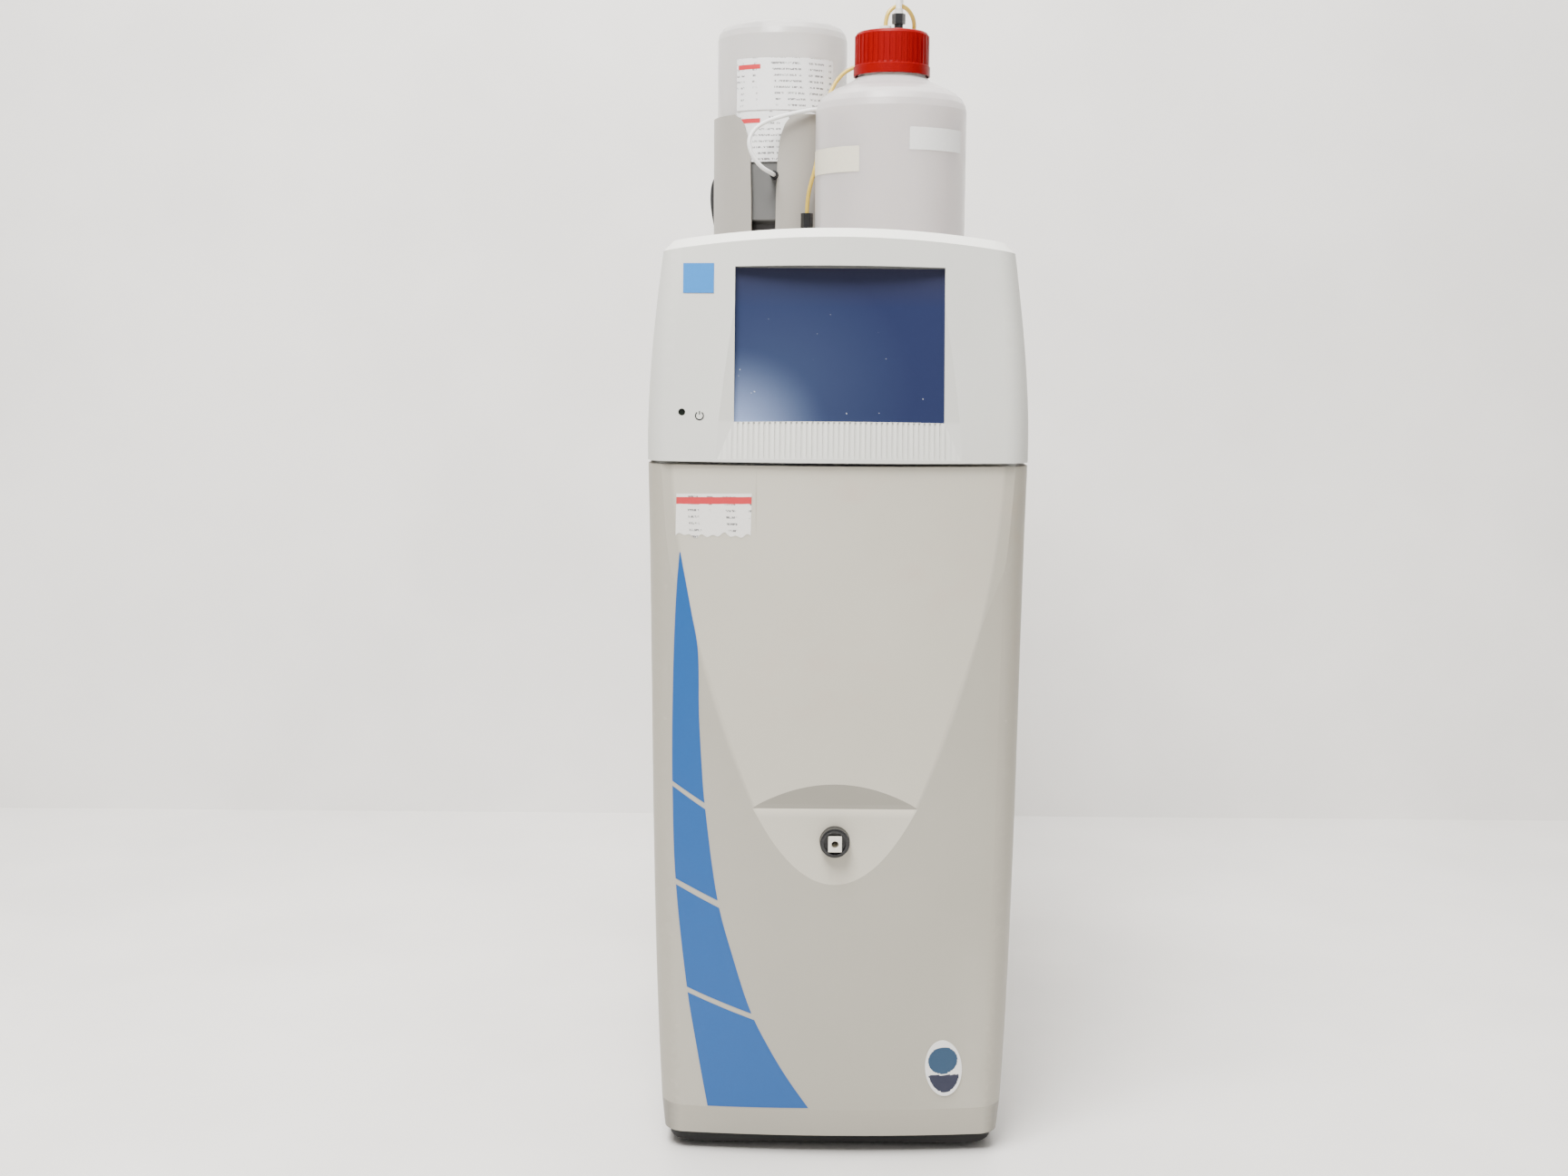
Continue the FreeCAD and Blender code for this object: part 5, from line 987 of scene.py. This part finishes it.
@dataclass
class HoodFilms:
    """The square badge on the hood and the power mark beside its lamp."""

    skin: Skin
    badge: tuple[float, float, float, float] = (-91.9, -73.7, 522.7, 540.0)
    mark: Span = (-81.5, 451.5)
    ring_inner: float = 1.95
    ring_width: float = 0.75
    ring_turn: Span = (125.0, 290.0)
    bar_half: float = 0.34
    bar_low: float = 0.6
    bar_length: float = 2.2

    def build(self) -> None:
        """Make both."""
        square = patch(16, 16, rectangle(*self.badge))
        piece("hood_badge", self.skin.lay(square), Body.HOOD, (BADGE,), 0.0003)
        self.power_mark()

    def power_mark(self) -> None:
        """An open ring with a short bar, the common sign for power."""
        x, z = self.mark

        def ring(across: float, up: float) -> Spot:
            """A point of the open ring."""
            angle = math.radians(self.ring_turn[0] + self.ring_turn[1] * across)
            radius = self.ring_inner + self.ring_width * up
            return ((x + radius * math.cos(angle)) * MM, 0.0, (z + radius * math.sin(angle)) * MM)

        low = z + self.bar_low
        bar = rectangle(x - self.bar_half, x + self.bar_half, low, low + self.bar_length)
        mesh = patch(40, 1, ring)
        join(mesh, patch(1, 4, bar))
        piece("power_mark", self.skin.lay(mesh), Body.HOOD, (BLACK,), 0.00005)


@dataclass
class RoundLabels:
    """Plain paper labels wrapped on the eluent bottle and the generator cartridge."""

    bottle: Spot
    cartridge: Spot
    header_height: float = 3.4
    header_lift: float = 0.3
    thickness: float = 0.00012

    def build(self) -> None:
        """Wrap all the labels and the two printed headers."""
        self.wrap("bottle_label_cream", self.bottle, (-100.0, -26.5), (617.0, 635.2), CREAM)
        self.wrap("bottle_label_white", self.bottle, (11.0, 62.0), (632.3, 648.2), PAPER)
        self.wrap("cartridge_label_upper", self.cartridge, (-43.0, 50.0), (670.0, 708.5), LISTING)
        self.wrap("cartridge_label_lower", self.cartridge, (-43.0, 50.0), (631.4, 668.8), LISTING)
        for name, low in (("cartridge_header_upper", 700.3), ("cartridge_header_lower", 660.3)):
            heights = (low, low + self.header_height)
            self.wrap(name, self.cartridge, (-41.0, -19.0), heights, RED_PRINT, self.header_lift)

    def wrap(self, name: str, on: Spot, turns: Span, heights: Span, finish: Finish,
             lift: float = 0.15) -> None:
        """Wrap one label.

        Args:
            name: Name of the piece.
            on: X, Y and radius of what it is on, in millimetres.
            turns: Start and end angle from the front, in degrees.
            heights: Low and high edge in millimetres.
            finish: Its finish.
            lift: Height over what it is on, in millimetres.
        """
        x, y, radius = on

        def place(across: float, up: float) -> Spot:
            """A point of the label."""
            angle = math.radians(turns[0] + (turns[1] - turns[0]) * across)
            reach = radius + lift
            z = heights[0] + (heights[1] - heights[0]) * up
            return ((x + reach * math.sin(angle)) * MM, (y - reach * math.cos(angle)) * MM, z * MM)

        mesh = patch(28, 4, place)
        face_front(mesh)
        piece(name, mesh, Body.CABINET, (finish,), self.thickness)


# Fasteners and plates


@dataclass
class Fasteners:
    """Pan-head screws on the rear panel and the rating plate's bare film."""

    rear_y: float
    half_width: float = 101.5
    heights: Sequence[float] = (34.0, 190.0, 346.0, 496.0)
    radius: float = 3.1
    crown: float = 0.72
    height: float = 1.7
    segments: int = 28
    rim: float = 0.34
    recess: Span = (0.0002, -0.0009)
    plate_spot: Span = (0.058, 0.150)
    plate_size: Spot = (0.062, 0.0004, 0.040)

    def build(self) -> None:
        """Make the screws and the plate."""
        mesh = bmesh.new()
        turn = Matrix.Rotation(-math.pi / 2, 4, "X")
        for x in (-self.half_width, self.half_width):
            for z in self.heights:
                self.screw(mesh, Matrix.Translation((x * MM, self.rear_y, z * MM)) @ turn)
        piece("panel_screws", mesh, Body.CABINET, (STEEL,))
        plate = bmesh.new()
        x, z = self.plate_spot
        place = Matrix.Translation((x, self.rear_y + self.plate_size[1] / 2, z))
        bmesh.ops.create_cube(plate, size=1.0, matrix=place @ Matrix.Diagonal((*self.plate_size, 1.0)))
        piece("rating_plate", plate, Body.CABINET, (PLATE,))

    def screw(self, mesh: Mesh, place: Matrix) -> None:
        """Add one domed screw head with a recess.

        Args:
            mesh: Mesh to add to.
            place: Turns the head's up to its outward direction and moves it there.
        """
        head = bmesh.ops.create_cone(mesh, cap_ends=True, segments=self.segments, radius1=self.radius * MM,
                                     radius2=self.radius * self.crown * MM, depth=self.height * MM,
                                     matrix=place @ Matrix.Translation((0, 0, self.height * MM / 2)))
        outward = place.to_3x3() @ Vector((0, 0, 1))
        crowns = {face for vert in head["verts"] for face in vert.link_faces
                  if len(face.verts) == self.segments and face.normal.dot(outward) > 0.9}
        for face in crowns:
            bmesh.ops.inset_individual(mesh, faces=[face], thickness=self.radius * self.rim * MM, depth=0.0)
            bmesh.ops.inset_individual(mesh, faces=[face], thickness=self.recess[0], depth=self.recess[1])


# Tubes and the cable on the tray


@dataclass(frozen=True)
class Route:
    """A flexible line: its route in millimetres and what it is."""

    name: str
    node: str
    points: Sequence[Spot]
    diameter: float
    length: float
    finish: Finish
    slot: Slot
    stiffness: str = "medium"
    lay: str = "loose"

    def build(self) -> None:
        curve = bpy.data.curves.new(self.name, "CURVE")
        curve.dimensions = "3D"
        curve.bevel_depth = self.diameter / 2 * MM
        curve.bevel_resolution = 5
        curve.resolution_u = 10
        curve.use_fill_caps = True
        line = curve.splines.new("NURBS")
        line.points.add(len(self.points) - 1)
        for point, spot in zip(line.points, self.points):
            point.co = (*(part * MM for part in spot), 1.0)
        line.order_u = 3
        line.use_endpoint_u = True
        curve.materials.append(self.finish.build())
        thing = bpy.data.objects.new(self.name, curve)
        bpy.context.scene.collection.objects.link(thing)
        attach(thing, Body.CABINET.value)
        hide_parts(self.node)
        LOG.info("%s: %d points", self.name, len(self.points))


LINE_END = 480.0

LINES: tuple[Route, ...] = (
    Route("gas_tube", "gas_line", (
        (49, 66, 728.4), (49, 66, 744.4), (49.4, 69, 766.4), (50.3, 82, 784.4), (51.7, 103, 791.4),
        (53.3, 125, 784.4), (54.6, 144, 765.4), (55.4, 158, 736.4), (56, 167, 696.4), (58, 172, 646.4),
        (62, 174, 594.4), (67, 173.3, 542.4), (70, 172, 503), (70, 172, LINE_END)),
        4.4, 420.6, WHITE_TUBE, Slot.CLEAR_TUBE),
    Route("eluent_tube", "eluent_line", (
        (39.5, 70, 723.4), (39.5, 70, 734.4), (46.3, 72, 741.7), (54.5, 75, 741.7), (61, 79.5, 734.4),
        (62.2, 90, 725.4), (60, 102, 717.4), (51, 112, 711.4), (38, 117, 708.4), (26, 119.5, 706.4),
        (14, 118, 702.4), (5.5, 113.5, 694.4), (-0.5, 106, 682.4), (-4.3, 100, 668.4), (-7, 95.5, 654.4),
        (-8.7, 92, 640.4), (-10.5, 89.8, 626.4), (-14.5, 89, 613.4), (-17, 90, 600.4), (-17, 90, 588)),
        3.2, 247.0, YELLOW_TUBE, Slot.YELLOW_TUBE, "limp"),
    Route("feed_tube", "feed_line", (
        (-17, 90, 581), (-17, 90, 563), (-16.6, 90.7, 542), (-15, 91.6, 520), (-14.5, 92, 501),
        (-14.5, 92, LINE_END)), 3.2, 101.1, YELLOW_TUBE, Slot.YELLOW_TUBE, "limp"),
    Route("cartridge_tube", "cartridge_line", (
        (-42.08, 97.89, 621), (-43.34, 85.96, 621), (-52, 79, 625), (-59.5, 77.5, 635), (-61.5, 79, 646),
        (-55, 83, 655.5), (-43, 87, 661.5), (-30, 91.5, 665.5), (-18.5, 96, 668.5), (-9.5, 102.5, 670.5),
        (-3.7, 109, 671.5), (3.2, 115.6, 671.5), (10, 124, 669.5), (18, 132, 662), (26, 139.5, 647),
        (31.5, 146, 625), (35, 150.5, 600), (36.3, 152.3, 566), (36.1, 152.2, 530), (36, 152, 504),
        (36, 152, LINE_END)), 3.2, 340.3, WHITE_TUBE, Slot.CLEAR_TUBE),
    Route("cartridge_cable_run", "cartridge_cable", (
        (-80.02, 183.64, 628), (-87.22, 189.04, 628), (-91.6, 192.5, 622), (-92.6, 194.5, 609),
        (-91, 196, 596), (-88, 197.5, 582), (-86, 198.5, 562), (-85.2, 199, 532), (-85, 199, 504),
        (-85, 199, LINE_END)), 4.6, 159.4, CABLE, Slot.CABLE),
)


# Stage


@dataclass(frozen=True)
class Lamp:
    """A square area light that faces a point."""

    name: str
    spot: Spot
    aim: Spot
    size: float
    power: float
    colour: Colour = (1.0, 0.985, 0.96)

    def build(self) -> None:
        """Make the light."""
        data = bpy.data.lights.new(self.name, "AREA")
        data.size = self.size
        data.energy = self.power
        data.color = self.colour
        thing = bpy.data.objects.new(self.name, data)
        thing.location = self.spot
        thing.rotation_euler = (Vector(self.aim) - Vector(self.spot)).to_track_quat("-Z", "Y").to_euler()
        bpy.context.scene.collection.objects.link(thing)


@dataclass
class Studio:
    """Pale table and wall, soft lights, and the camera."""

    table_depth: float = 0.58
    reach: float = 3.0
    wall_low: float = -1.0
    wall_high: float = 3.0
    lamps: tuple[Lamp, ...] = (
        Lamp("ceiling_light", (-0.40, -0.98, 2.05), (0.0, -0.25, 0.30), 0.9, 112.0),
        Lamp("rear_light", (0.05, 0.12, 2.3), (0.0, 0.5, 0.5), 1.3, 46.0),
        Lamp("front_fill", (1.3, -2.2, 1.3), (0.0, 0.0, 0.45), 1.6, 9.0),
    )
    surround: Colour = (1.0, 0.99, 0.975)
    surround_strength: float = 0.3
    camera_spot: Spot = (-0.0291, -1.344, 0.4924)
    pitch: float = 7.42
    roll: float = 0.445
    yaw: float = -0.12
    focal_pixels: float = 2050.0
    frame_pixels: float = 1728.0

    def build(self) -> None:
        """Set everything up."""
        self.surfaces()
        for lamp in self.lamps:
            lamp.build()
        self.world()
        self.camera()

    def surfaces(self) -> None:
        """The table top and the wall behind it."""
        left, wide, deep = -self.reach, 2 * self.reach, self.table_depth
        low, tall = self.wall_low, self.wall_high - self.wall_low
        table = patch(2, 2, lambda across, up: (left + wide * across, left + (deep - left) * up, 0.0))
        wall = patch(2, 2, lambda across, up: (left + wide * across, deep, low + tall * up))
        for name, mesh, finish in (("table_top", table, TABLE), ("back_wall", wall, WALL)):
            as_object(name, mesh, (finish,))

    def world(self) -> None:
        """An even surround."""
        world = bpy.data.worlds.new("surround")
        world.use_nodes = True
        back = world.node_tree.nodes["Background"]
        back.inputs["Color"].default_value = (*self.surround, 1.0)
        back.inputs["Strength"].default_value = self.surround_strength
        bpy.context.scene.world = world

    def camera(self) -> None:
        """The camera at the photograph's place and angle."""
        data = bpy.data.cameras.new("camera")
        data.sensor_width = 36.0
        data.lens = self.focal_pixels / self.frame_pixels * data.sensor_width
        data.clip_start = 0.05
        thing = bpy.data.objects.new("camera", data)
        turn = (Matrix.Rotation(math.radians(-self.yaw), 4, "Z")
                @ Matrix.Rotation(math.radians(90 - self.pitch), 4, "X")
                @ Matrix.Rotation(math.radians(self.roll), 4, "Z"))
        thing.matrix_world = Matrix.Translation(self.camera_spot) @ turn
        bpy.context.scene.collection.objects.link(thing)
        bpy.context.scene.camera = thing


def upright(name: str) -> Spot:
    """X, Y and radius of an upright round node, in millimetres."""
    low, high = (Vector(corner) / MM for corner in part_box(name))
    return ((low.x + high.x) / 2, (low.y + high.y) / 2, (high.x - low.x) / 2)


def main() -> None:
    """Build the scene in order."""
    logging.basicConfig(level=logging.INFO, format="%(message)s")
    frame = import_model()
    nodes = frame["nodes"]
    dress_nodes(nodes)
    RoundLabels(upright("eluent_bottle"), upright("cartridge_bottle")).build()
    DoorFilms(Skin(nodes["door_shell"])).build()
    HoodFilms(Skin(nodes["hood_shell"])).build()
    for line in LINES:
        line.build()
    Fasteners(rear_y=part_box("rear_panel")[1][1]).build()
    Studio().build()


if __name__ == "__main__":
    main()
